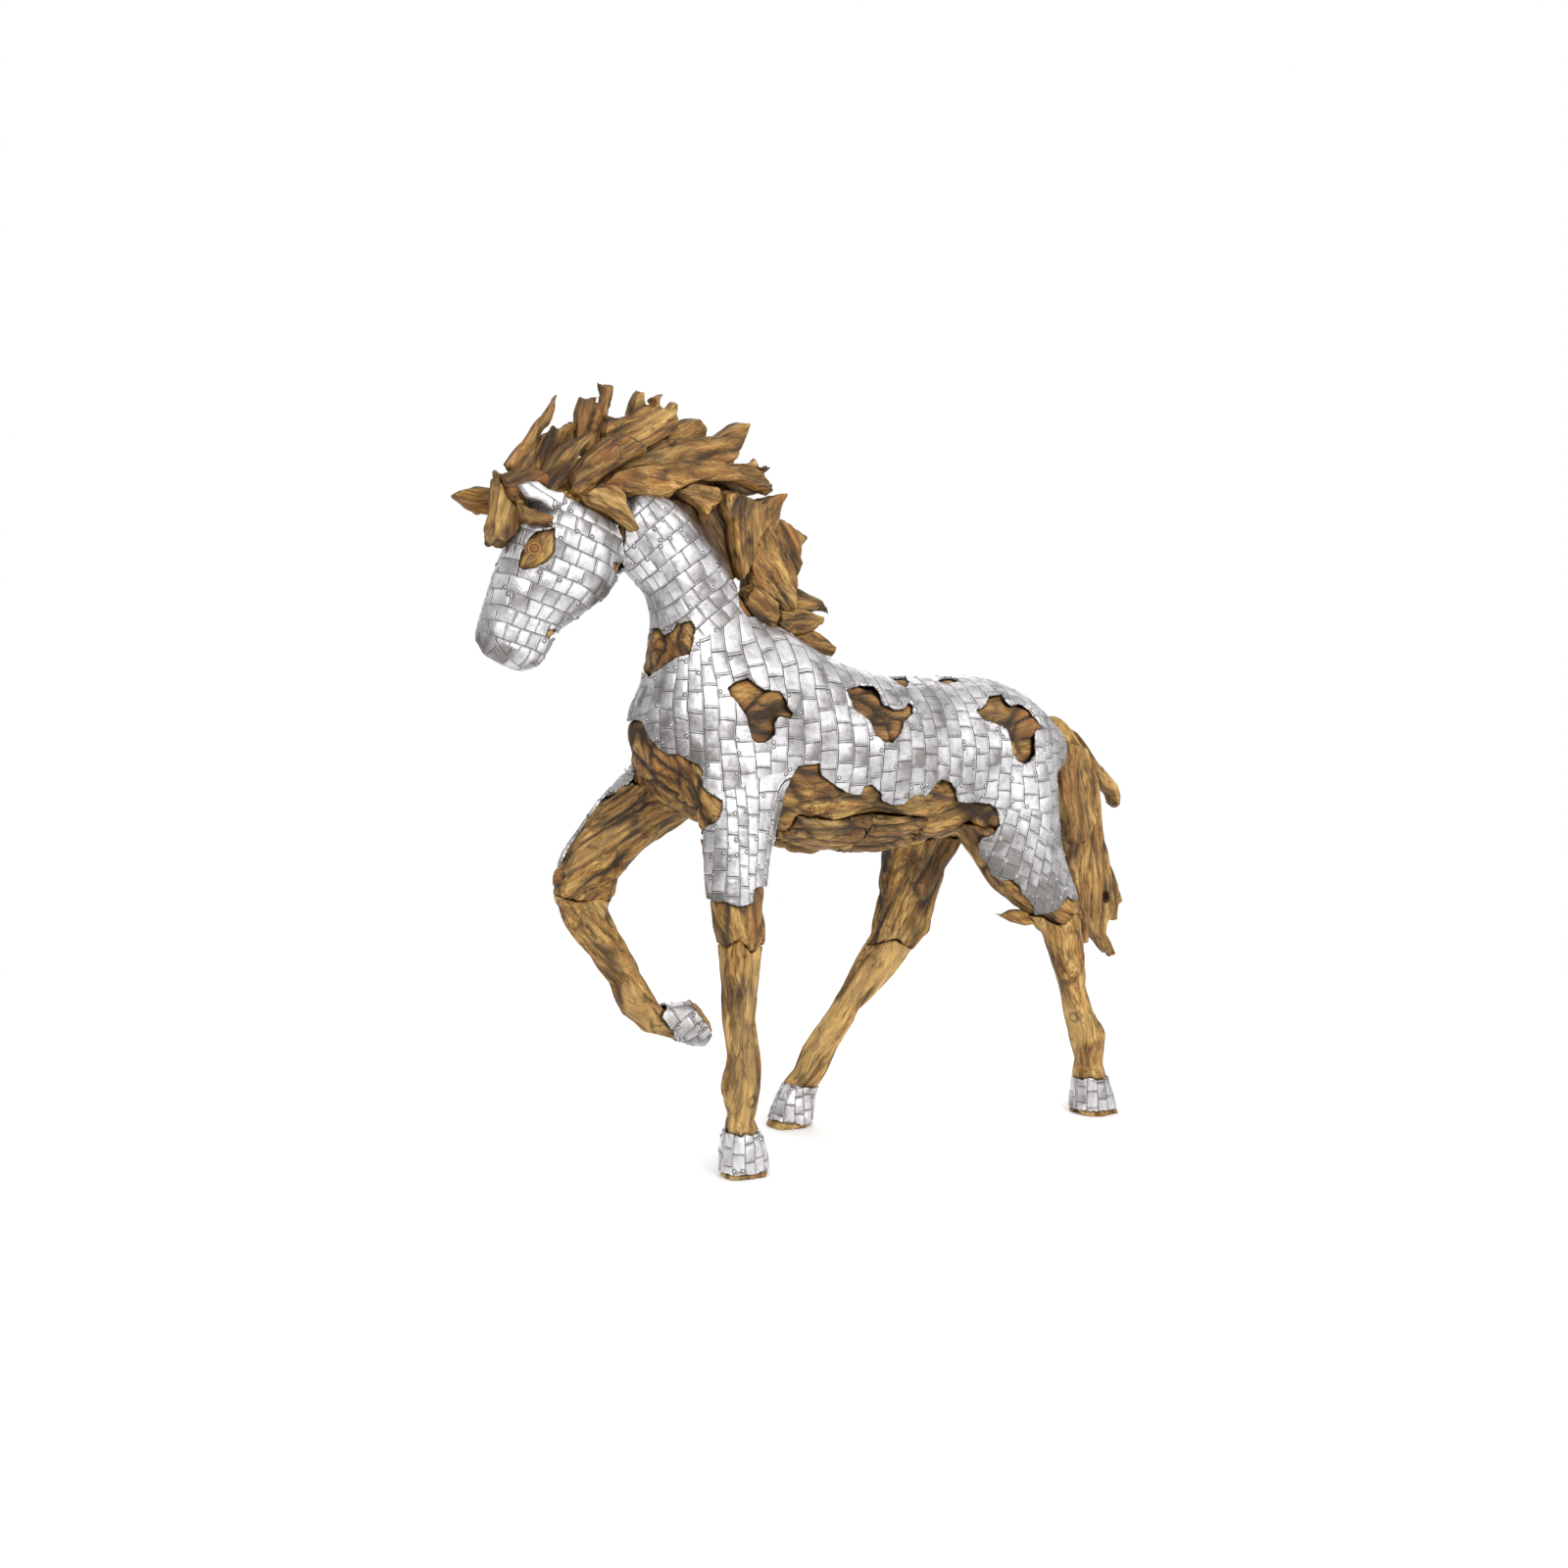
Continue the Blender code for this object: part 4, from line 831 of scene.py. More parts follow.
    def body(self, points: np.ndarray) -> np.ndarray:
        """How far inside the body's metal each point lies; negative on bare wood.

        Args:
            points: places in the row frame, one to a row.

        Returns:
            One depth for each.
        """
        crest = self.crest.depth(points)
        left = np.minimum(self.left_lower.depth(points), crest)
        for window in self.left_windows:
            left = np.minimum(left, -window.depth(points))
        inner = np.minimum(self.right_breast.depth(points), self.forearm_side - points[:, 1])
        right = np.minimum(np.maximum(self.right_lower.depth(points), inner), crest)
        for window in self.right_windows:
            right = np.minimum(right, -window.depth(points))
        right = right + self.far_tear * layered(points * self.far_waves, 83)
        over = np.maximum(points[:, 2] - self.thigh_top, 0.0)
        outer = points[:, 1] - self.thigh_side + self.thigh_lean * over
        right = np.minimum(right, outer)
        return np.minimum(np.where(self.seen_side(points), left, right), -self.throat.depth(points))

    def seam(self, points: np.ndarray) -> np.ndarray:
        """Distance from each point of the seen side to the nearest joint between bare chunks.

        Args:
            points: places in the row frame, one to a row.

        Returns:
            One distance for each, endless on the far side.
        """
        nearest = np.full(len(points), np.inf)
        for line in self.joints:
            there_and_back = Edge(Seen.PHOTO, line + line[::-1])
            nearest = np.minimum(nearest, np.abs(there_and_back.depth(points)))
        return np.where(self.seen_side(points), nearest, np.inf)

    def painted_shade(self, points: np.ndarray) -> np.ndarray:
        """How much painted shade greys the metal at each point: soft round patches, broken up by
        noise.

        Args:
            points: places in the row frame, one to a row.

        Returns:
            A value from 0 to 1 for each.
        """
        drawn = points - ORIGIN
        most = np.zeros(len(points))
        for centre, reach, strength in self.shade_patches:
            away = np.linalg.norm(drawn - np.array(centre), axis=1)
            most = np.maximum(most, strength * bell(away, reach))
        broken = 1.0 + self.shade_breaks * layered(points * self.shade_waves, 87)
        return np.clip(most * broken, 0.0, 1.0)

    def head(self, points: np.ndarray) -> np.ndarray:
        """How far inside the head's metal each point lies, the same on both sides.

        Args:
            points: places in the row frame, one to a row.

        Returns:
            One depth for each.
        """
        near = points * (1.0, 0.0, 1.0) - (0.0, 1.0, 0.0) * np.abs(points)
        kept = self.face.depth(points)
        for window in self.face_windows:
            kept = np.minimum(kept, -window.depth(near))
        return kept

    def forearm_plate(self, points: np.ndarray) -> np.ndarray:
        """How far inside the plate on the raised forearm each point lies."""
        return np.minimum(self.forearm.depth(points), points[:, 1] - self.forearm_side)


METAL = MetalMap()


@dataclass(frozen=True)
class Hoof:
    """A hoof's metal: its CAD node, where it stands, how high the wooden rim and the metal reach."""

    node: str
    centre: tuple[float, float, float]
    axis: tuple[float, float, float]
    low: float
    high: float
    reach: float = 0.11
    rim_tear: float = 0.003
    rim_waves: float = 3.1
    top_tear: float = 0.007
    top_waves: float = 2.3

    def metal(self, points: np.ndarray) -> np.ndarray:
        """How far inside the hoof's metal each point lies: between a torn rim and a torn top.

        Args:
            points: places in the row frame, one to a row.

        Returns:
            One depth for each.
        """
        ray = points - ORIGIN - np.array(self.centre)
        axis = np.array(self.axis)
        first = np.cross(axis, (0.0, 1.0, 0.0))
        first /= np.linalg.norm(first)
        height = ray @ axis
        turn = np.arctan2(ray @ np.cross(axis, first), ray @ first)
        wave = np.stack((np.cos(turn), np.sin(turn), np.full(len(turn), self.centre[0])), axis=1)
        rim = self.low + self.rim_tear * layered(wave * self.rim_waves, 41)
        top = self.high + self.top_tear * layered(wave * self.top_waves, 43)
        side = self.reach - np.linalg.norm(ray - height[:, None] * axis, axis=1)
        return np.minimum(np.minimum(height - rim, top - height), side)


HOOVES = (
    Hoof("left_fore_hoof_cladding", (-0.119, -0.190, -0.012), (0.0, 0.0, 1.0), 0.017, 0.112),
    Hoof("left_hind_hoof_cladding", (1.068, -0.180, -0.012), (0.0, 0.0, 1.0), 0.017, 0.107),
    Hoof("right_hind_hoof_cladding", (0.215, 0.145, -0.012), (0.15, 0.0, 0.989), 0.017, 0.114),
    Hoof("right_fore_hoof_cladding", (-0.068, 0.160, 0.310), (-0.834, 0.0, -0.552), 0.004, 0.086),
)


def covered(points: np.ndarray) -> np.ndarray:
    """How far inside any metal each point lies.

    Args:
        points: places in the row frame, one to a row.

    Returns:
        One depth for each, negative outside all metal.
    """
    depth = np.maximum(METAL.body(points), METAL.head(points))
    depth = np.maximum(depth, METAL.forearm_plate(points))
    for hoof in HOOVES:
        depth = np.maximum(depth, hoof.metal(points))
    return depth


# Tile charts


def turned(u: np.ndarray, v: np.ndarray, degrees: float) -> tuple[np.ndarray, np.ndarray]:
    """Turn flat chart coordinates by an angle."""
    c, s = math.cos(math.radians(degrees)), math.sin(math.radians(degrees))
    return u * c - v * s, u * s + v * c


@dataclass(frozen=True)
class LimbChart:
    """Tiles wound round a straight axis: one coordinate round it, one along it."""

    base: tuple[float, float, float]
    axis: tuple[float, float, float]
    start: tuple[float, float, float]
    radius: float
    wide: float
    tall: float
    turn_deg: float = 0.0

    def along(self, drawn: np.ndarray) -> np.ndarray:
        """Distance of each point from the base, along the axis."""
        return (drawn - np.array(self.base)) @ np.array(self.axis) / np.linalg.norm(self.axis)

    def tiles(self, drawn: np.ndarray) -> np.ndarray:
        """Wind the tiles round the axis.

        Args:
            drawn: places in the drawing's frame, one to a row.

        Returns:
            Column and row of each point, one tile to a whole step.
        """
        axis = np.array(self.axis) / np.linalg.norm(self.axis)
        first = np.array(self.start) - axis * (np.array(self.start) @ axis)
        first /= np.linalg.norm(first)
        ray = drawn - np.array(self.base)
        around = np.arctan2(ray @ np.cross(axis, first), ray @ first) * self.radius
        u, v = turned(around, ray @ axis, self.turn_deg)
        return np.stack((u / self.wide, v / self.tall), axis=1)


@dataclass(frozen=True)
class TrunkChart:
    """Tiles in upright columns: round the breast and rump in plan, and down over the back."""

    front: float = -0.17
    rear: float = 0.76
    front_radius: float = 0.19
    rear_radius: float = 0.22
    middle: float = 1.03
    girth_radius: float = 0.235
    wide: float = 0.0445
    tall: float = 0.0480
    # Behind the first and above the second, rows go over the back. Elsewhere they stay level.
    over_from: tuple[float, float] = (-0.30, -0.08)
    over_above: tuple[float, float] = (-0.12, 0.0)

    def tiles(self, drawn: np.ndarray) -> np.ndarray:
        """Lay the tiles round and over the trunk.

        Args:
            drawn: places in the drawing's frame, one to a row.

        Returns:
            Column and row of each point, one tile to a whole step.
        """
        x, side, up = drawn[:, 0], np.abs(drawn[:, 1]), drawn[:, 2] - self.middle
        bent = self.front - self.front_radius * np.arctan2(self.front - x, side)
        spread = np.hypot(side, up)
        tail = self.rear + self.rear_radius * np.arctan2(x - self.rear, spread)
        u = np.where(x < self.front, bent, np.where(x > self.rear, tail, x))
        girth = self.girth_radius * np.arctan2(side, up)
        plumb = self.girth_radius * math.pi / 2.0 - up
        share = ramp(*self.over_from, x) * ramp(*self.over_above, up)
        v = girth * share + plumb * (1.0 - share)
        v = np.where(drawn[:, 1] < 0.0, v, -v)
        return np.stack((u / self.wide, v / self.tall), axis=1)


class Patch(Enum):
    """The parts of the metal that are tiled each in its own direction."""

    TRUNK = 0
    NECK = 1
    LEFT_SLEEVE = 2
    LEFT_THIGH = 3
    HEAD = 4
    RIGHT_FOREARM = 5
    LEFT_FORE_HOOF = 6
    LEFT_HIND_HOOF = 7
    RIGHT_HIND_HOOF = 8
    RIGHT_FORE_HOOF = 9
    MUZZLE = 10


def hoof_chart(hoof: Hoof) -> LimbChart:
    """Tiles round a hoof: three or four in sight, two rows high."""
    return LimbChart(hoof.centre, hoof.axis, (1.0, 0.0, 0.2), 0.068, 0.034, 0.046)


CHARTS: dict[Patch, TrunkChart | LimbChart] = {
    Patch.TRUNK: TrunkChart(),
    Patch.NECK: LimbChart((-0.13, 0.0, 1.30), (-0.48, 0.0, 0.877), (0.877, 0.0, 0.48), 0.135,
                          0.045, 0.047, 83.0),
    Patch.LEFT_SLEEVE: LimbChart((-0.128, -0.17, 0.80), (-0.10, 0.10, 1.0), (0.0, -1.0, 0.0),
                                 0.082, 0.036, 0.050, 10.0),
    Patch.LEFT_THIGH: LimbChart((0.80, -0.14, 0.80), (-0.30, 0.10, 0.95), (0.0, -1.0, 0.0),
                                0.13, 0.043, 0.045, 38.0),
    Patch.HEAD: LimbChart((-0.532, 0.0, 1.547), (-0.50, 0.0, -0.866), (0.866, 0.0, -0.50), 0.092,
                          0.0375, 0.0425, 80.0),
    Patch.MUZZLE: LimbChart((1.823, 0.0, 5.628), (-0.866, 0.0, 0.50), (-0.50, 0.0, -0.866), 5.0,
                            0.036, 0.040, 8.0),
    Patch.RIGHT_FOREARM: LimbChart((-0.30, 0.15, 0.87), (-0.72, 0.0, -0.69), (0.0, 1.0, 0.0),
                                   0.085, 0.036, 0.048),
}
HOOF_PATCHES = dict(zip(HOOVES, (Patch.LEFT_FORE_HOOF, Patch.LEFT_HIND_HOOF,
                                 Patch.RIGHT_HIND_HOOF, Patch.RIGHT_FORE_HOOF)))
CHARTS.update((patch, hoof_chart(hoof)) for hoof, patch in HOOF_PATCHES.items())
MUZZLE_FROM = 0.268  # how far along the head its end begins
PATCH_WOBBLE = 0.012  # how far the borders of the patches swing to and fro
# Lines that part the patches: x and z of a place on each, and its slope.
NECK_LINE = (-0.345, 1.262, 0.60)
SLEEVE_LINE = (-0.12, 0.985, 0.25)
THIGH_LINE = (0.75, 0.90, -0.30)
# How far these patches reach along the body: x in the drawing.
NECK_REAR = 0.10
SLEEVE_FRONT, SLEEVE_REAR = -0.30, 0.06
THIGH_FRONT = 0.52
# Axis, swing in tiles, waves to a metre and seed of each wave in the rows and columns.
TILE_WAVES = ((0, 0.17, 9.0, 61), (0, 0.05, 31.0, 62), (1, 0.20, 8.0, 63), (1, 0.06, 29.0, 64))


def tile_sizes(numbers: np.ndarray) -> np.ndarray:
    """Width and height of the tiles of each patch, given by its number."""
    return np.array([(CHARTS[patch].wide, CHARTS[patch].tall) for patch in Patch])[numbers]


def height_of(line: tuple[float, float, float], x: np.ndarray) -> np.ndarray:
    """Height of a line at x, where the line is given by a place on it and its slope."""
    return line[1] + line[2] * (x - line[0])


def patch_of(points: np.ndarray) -> np.ndarray:
    """Which patch of the body's metal each point belongs to, as the patch's number.

    The neck ends on a line that slopes down to the breast, the sleeve begins at the elbow and the
    thigh at the stifle.

    Args:
        points: places in the row frame, one to a row.

    Returns:
        One whole number for each.
    """
    drawn = points - ORIGIN
    x, y, z = drawn.T
    wobble = PATCH_WOBBLE * noise(points * 14.0, 5)
    patch = np.full(len(points), Patch.TRUNK.value)
    neck = (z > height_of(NECK_LINE, x) + wobble) & (x < NECK_REAR)
    patch[neck] = Patch.NECK.value
    sleeve = (y < 0.0) & (z < height_of(SLEEVE_LINE, x) + wobble)
    patch[sleeve & (x > SLEEVE_FRONT) & (x < SLEEVE_REAR)] = Patch.LEFT_SLEEVE.value
    thigh = (y < 0.0) & (z < height_of(THIGH_LINE, x) + wobble) & (x > THIGH_FRONT)
    patch[thigh] = Patch.LEFT_THIGH.value
    return patch


def tile_places(points: np.ndarray, patches: np.ndarray) -> np.ndarray:
    """Column and row of each point in its own patch's chart, a little wavy, as hand work is.

    Args:
        points: places in the row frame, one to a row.
        patches: number of each point's patch.

    Returns:
        Column and row of each point, one tile to a whole step.
    """
    drawn = points - ORIGIN
    places = np.zeros((len(points), 2))
    for number in np.unique(patches):
        chosen = patches == number
        places[chosen] = CHARTS[Patch(int(number))].tiles(drawn[chosen])
    for axis, swing, waves, seed in TILE_WAVES:
        places[:, axis] += swing * noise(points * waves, seed)
    return places


def brick(places: np.ndarray) -> tuple[np.ndarray, np.ndarray, np.ndarray]:
    """Place in its tile, tile column and tile row, where every second column is shifted by half.

    Each column is also shifted by the part after the point of sin(1.7 column) * 9.7, times 0.4.

    Args:
        places: column and row, as tile_places() gives them.

    Returns:
        Place inside the tile from 0 to 1 each way, the tile's column, and its row.
    """
    column = np.floor(places[:, 0])
    hashed = np.sin(column * 1.7) * 9.7
    shift = 0.5 * np.mod(column, 2.0) + 0.4 * (hashed - np.floor(hashed))
    along = places[:, 1] + shift
    row = np.floor(along)
    inside = np.stack((places[:, 0] - column, along - row), axis=1)
    return inside, column, row


# Shader building


class Graph:
    """Short ways to add and join shader nodes in one tree."""

    def __init__(self, tree: bpy.types.NodeTree) -> None:
        """Work in the given tree."""
        self.tree = tree

    def add(self, kind: str, **settings: object) -> bpy.types.Node:
        """Add a node of a kind and set its properties.

        Args:
            kind: the node's type name.
            settings: properties, by name.

        Returns:
            The node.
        """
        node = self.tree.nodes.new(kind)
        for name, value in settings.items():
            setattr(node, name, value)
        return node

    def feed(self, socket: bpy.types.NodeSocket, value: object) -> None:
        """Link a socket into another, or set the other's own value.

        Args:
            socket: the input that is fed.
            value: an output, or a value.
        """
        if isinstance(value, bpy.types.NodeSocket):
            self.tree.links.new(value, socket)
        else:
            socket.default_value = value

    def given(self, kind: str, values: tuple[object, ...],
              **settings: object) -> bpy.types.NodeSocket:
        """Add a node and feed its inputs in order.

        Args:
            kind: the node's type name.
            values: one for each input.
            settings: properties, by name.

        Returns:
            Its first output.
        """
        node = self.add(kind, **settings)
        for socket, value in zip(node.inputs, values):
            self.feed(socket, value)
        return node.outputs[0]

    def math(self, operation: str, *values: object, clamp: bool = False) -> bpy.types.NodeSocket:
        """A Math node's result."""
        return self.given("ShaderNodeMath", values, operation=operation, use_clamp=clamp)

    def vector(self, operation: str, *values: object) -> bpy.types.NodeSocket:
        """A Vector Math node's result."""
        return self.given("ShaderNodeVectorMath", values, operation=operation)

    def span(self, value: object, low: float, high: float, start: float = 0.0,
             end: float = 1.0) -> bpy.types.NodeSocket:
        """Carry a value smoothly from the span low to high over to start to end."""
        return self.given("ShaderNodeMapRange", (value, low, high, start, end),
                          interpolation_type="SMOOTHSTEP")

    def mix(self, share: object, first: object, second: object) -> bpy.types.NodeSocket:
        """Blend two colours.

        Args:
            share: of the second colour.
            first: the first colour.
            second: the second colour.

        Returns:
            The result's socket.
        """
        node = self.add("ShaderNodeMix", data_type="RGBA")
        self.feed(node.inputs[0], share)
        self.feed(node.inputs[6], first)
        self.feed(node.inputs[7], second)
        return node.outputs[2]

    def total(self, value: object, *parts: tuple[object, float]) -> bpy.types.NodeSocket:
        """A value, with each further part times its weight added.

        Args:
            value: the first part.
            parts: each further part and its weight.

        Returns:
            The result's socket.
        """
        for part, weight in parts:
            value = self.math("MULTIPLY_ADD", part, weight, value)
        return value

    def attribute(self, name: str, output: str = "Fac") -> bpy.types.NodeSocket:
        """A named value of the mesh's points."""
        return self.add("ShaderNodeAttribute", attribute_name=name).outputs[output]

    def noise(self, place: object, scale: float, detail: float = 2.0, rough: float = 0.5,
              coloured: bool = False) -> bpy.types.NodeSocket:
        """A noise texture's value, or its colour.

        Args:
            place: where it is read.
            scale: cells to a unit of place.
            detail: how many finer layers it has.
            rough: how strong each finer layer is.
            coloured: give the colour.

        Returns:
            The result's socket.
        """
        node = self.add("ShaderNodeTexNoise")
        self.feed(node.inputs["Vector"], place)
        node.inputs["Scale"].default_value = scale
        node.inputs["Detail"].default_value = detail
        node.inputs["Roughness"].default_value = rough
        return node.outputs[int(coloured)]

    def ramp(self, value: object, stops: tuple[tuple[float, "Colour"], ...]) -> bpy.types.NodeSocket:
        """A colour ramp's colour.

        Args:
            value: the place on the ramp.
            stops: place and colour of each.

        Returns:
            The result's socket.
        """
        node = self.add("ShaderNodeValToRGB")
        self.feed(node.inputs[0], value)
        marks = node.color_ramp.elements
        while len(marks) < len(stops):
            marks.new(0.5)
        for mark, (place, colour) in zip(marks, stops):
            mark.position = place
            mark.color = colour
        return node.outputs[0]


Colour = tuple[float, float, float, float]


def tint(red: int, green: int, blue: int) -> Colour:
    """A colour given as it looks on a screen, 0 to 255, made linear.

    Args:
        red: 0 to 255.
        green: 0 to 255.
        blue: 0 to 255.

    Returns:
        The linear colour, opaque.
    """
    parts = [((c / 255.0 + 0.055) / 1.055) ** 2.4 if c > 10 else c / 3294.6
             for c in (red, green, blue)]
    return (parts[0], parts[1], parts[2], 1.0)


def new_group(name: str, takes: dict[str, str], gives: dict[str, str]) -> tuple[
        bpy.types.NodeTree, Graph, bpy.types.Node, bpy.types.Node]:
    """Make an empty node group with named sockets.

    Args:
        name: the group's name.
        takes: socket kind of each input, by name.
        gives: socket kind of each output, by name.

    Returns:
        The group, its graph, and its input and output nodes.
    """
    tree = bpy.data.node_groups.new(name, "ShaderNodeTree")
    for label, kind in takes.items():
        tree.interface.new_socket(label, in_out="INPUT", socket_type="NodeSocket" + kind)
    for label, kind in gives.items():
        tree.interface.new_socket(label, in_out="OUTPUT", socket_type="NodeSocket" + kind)
    graph = Graph(tree)
    return tree, graph, graph.add("NodeGroupInput"), graph.add("NodeGroupOutput")


def new_material(name: str, group: bpy.types.NodeTree, bump_strength: float) -> tuple[
        bpy.types.Material, Graph, bpy.types.Node, bpy.types.Node, bpy.types.NodeSocket]:
    """Make a material that holds one node group and a bump.

    Args:
        name: the material's name.
        group: the node group.
        bump_strength: strength of the bump.

    Returns:
        The material, its graph, its shader, the group's node and the bump's height socket.
    """
    material = bpy.data.materials.new(name)
    material.use_nodes = True
    g = Graph(material.node_tree)
    shader = material.node_tree.nodes["Principled BSDF"]
    node = g.add("ShaderNodeGroup")
    node.node_tree = group
    bump = g.add("ShaderNodeBump")
    bump.inputs["Distance"].default_value = 1.0
    bump.inputs["Strength"].default_value = bump_strength
    g.feed(shader.inputs["Normal"], bump.outputs[0])
    return material, g, shader, node, bump.inputs["Height"]


@dataclass(frozen=True)
class WoodFinish:
    """Oiled root wood: ochre streaks along the grain, burnt blotches, dark cracks, and painted shade
    in hollows.
    """

    name: str = "root_wood_finish"
    light: Colour = tint(210, 174, 108)
    ochre: Colour = tint(164, 123, 60)
    brown: Colour = tint(118, 82, 37)
    dark: Colour = tint(66, 43, 20)
    orange: Colour = tint(144, 91, 40)
    burnt: Colour = tint(58, 36, 19)
    pit_and_shade: Colour = tint(26, 17, 9)
    roughness: float = 0.76
    streak_gloss: float = 0.25
    coat: float = 0.05
    coat_roughness: float = 0.4
    specular: float = 0.35
    bump: float = 0.9

    @staticmethod
    def grain_group(bend: float = 0.05, bends: float = 7.0, streaks: float = 84.0,
                    fibres: float = 300.0, bands: float = 17.0, blotches: float = 41.0,
                    cells: float = 34.0, crazed: float = 13.0) -> bpy.types.NodeTree:
        """Build the group that turns a place along the grain into streaks, blotches and cracks.

        Args:
            bend: how far the grain swings to and fro, in metres.
            bends: scale of that swing. The others are scales too, all for one metre.
            streaks: of the streaks.
            fibres: of the finest lines.
            bands: of the broad bands.
            blotches: of the burnt blotches.
            cells: of the net of cracks.
            crazed: of the places that have cracks.

        Returns:
            The group.
        """
        tree, g, takes, gives = new_group(
            "root_grain", {"Grain": "Vector"},
            {"Streak": "Float", "Blotch": "Float", "Crack": "Float", "Height": "Float"})
        grain = takes.outputs["Grain"]
        swing = g.noise(grain, bends, coloured=True)
        bent = g.vector("MULTIPLY_ADD", swing, (bend, bend, bend), grain)
        drawn_out = {share: g.vector("MULTIPLY", bent, (1.0, 1.0, share))
                     for share in (0.11, 0.08, 0.4, 0.36)}
        streak = g.noise(drawn_out[0.11], streaks, 6.0, 0.66)
        fibre = g.noise(drawn_out[0.08], fibres, 2.0)
        broad = g.noise(drawn_out[0.4], bands, 4.0, 0.6)
        mixed = g.math("ADD", g.math("MULTIPLY", streak, 0.56), g.math("MULTIPLY", broad, 0.44))
        mixed = g.math("MULTIPLY_ADD", g.math("SUBTRACT", fibre, 0.5), 0.32, mixed)
        blotch = g.noise(drawn_out[0.36], blotches, 5.0, 0.72)
        cell = g.add("ShaderNodeTexVoronoi", feature="DISTANCE_TO_EDGE")
        g.feed(cell.inputs["Vector"], drawn_out[0.11])
        cell.inputs["Scale"].default_value = cells
        gate = g.span(g.noise(bent, crazed), 0.48, 0.62)
        crack = g.math("MULTIPLY", g.span(cell.outputs[0], 0.0, 0.038, 1.0, 0.0), gate)
        height = g.total(g.math("MULTIPLY", streak, 0.0032), (fibre, 0.0009), (crack, -0.0022))
        g.feed(gives.inputs["Streak"], mixed)
        g.feed(gives.inputs["Blotch"], g.span(blotch, 0.53, 0.66))
        g.feed(gives.inputs["Crack"], crack)
        g.feed(gives.inputs["Height"], height)
        return tree

    def build(self, group: bpy.types.NodeTree) -> bpy.types.Material:
        """Make the material round the grain group.

        Args:
            group: grain_group()'s.

        Returns:
            The material.
        """
        material, g, shader, grain, height = new_material(self.name, group, self.bump)
        g.feed(grain.inputs["Grain"], g.attribute("grain", "Vector"))
        crack_and_shade, tone = g.attribute("crack_and_shade"), g.attribute("tone")
        streak, blotch, crack = (grain.outputs[name] for name in ("Streak", "Blotch", "Crack"))
        colour = g.ramp(streak, (
            (0.34, self.dark), (0.43, self.brown), (0.52, self.ochre), (0.64, self.light)))
        # The last mix darkens joints and knot rings in their own colour, and paints shade into
        # cracks, furrows, the sides of slabs, the carved eye's groove and the bare wood along the
        # metal's edge.
        for share, over in ((g.span(tone, 0.35, 1.0, 0.0, 0.8), self.orange),
                            (g.span(tone, 0.0, 0.30, 0.42, 0.0), self.light),
                            (g.math("MULTIPLY", blotch, 0.66), self.burnt),
                            (g.math("MULTIPLY", crack, 0.55), self.pit_and_shade),
                            (g.math("MULTIPLY", crack_and_shade, 0.92), self.pit_and_shade)):
            colour = g.mix(share, colour, over)
        rough = g.math("MULTIPLY_ADD", streak, -self.streak_gloss, self.roughness)
        for socket, value in (("Base Color", colour), ("Roughness", rough),
                              ("Coat Weight", self.coat), ("Coat Roughness", self.coat_roughness),
                              ("Specular IOR Level", self.specular)):
            g.feed(shader.inputs[socket], value)
        g.feed(height, grain.outputs["Height"])
        return material


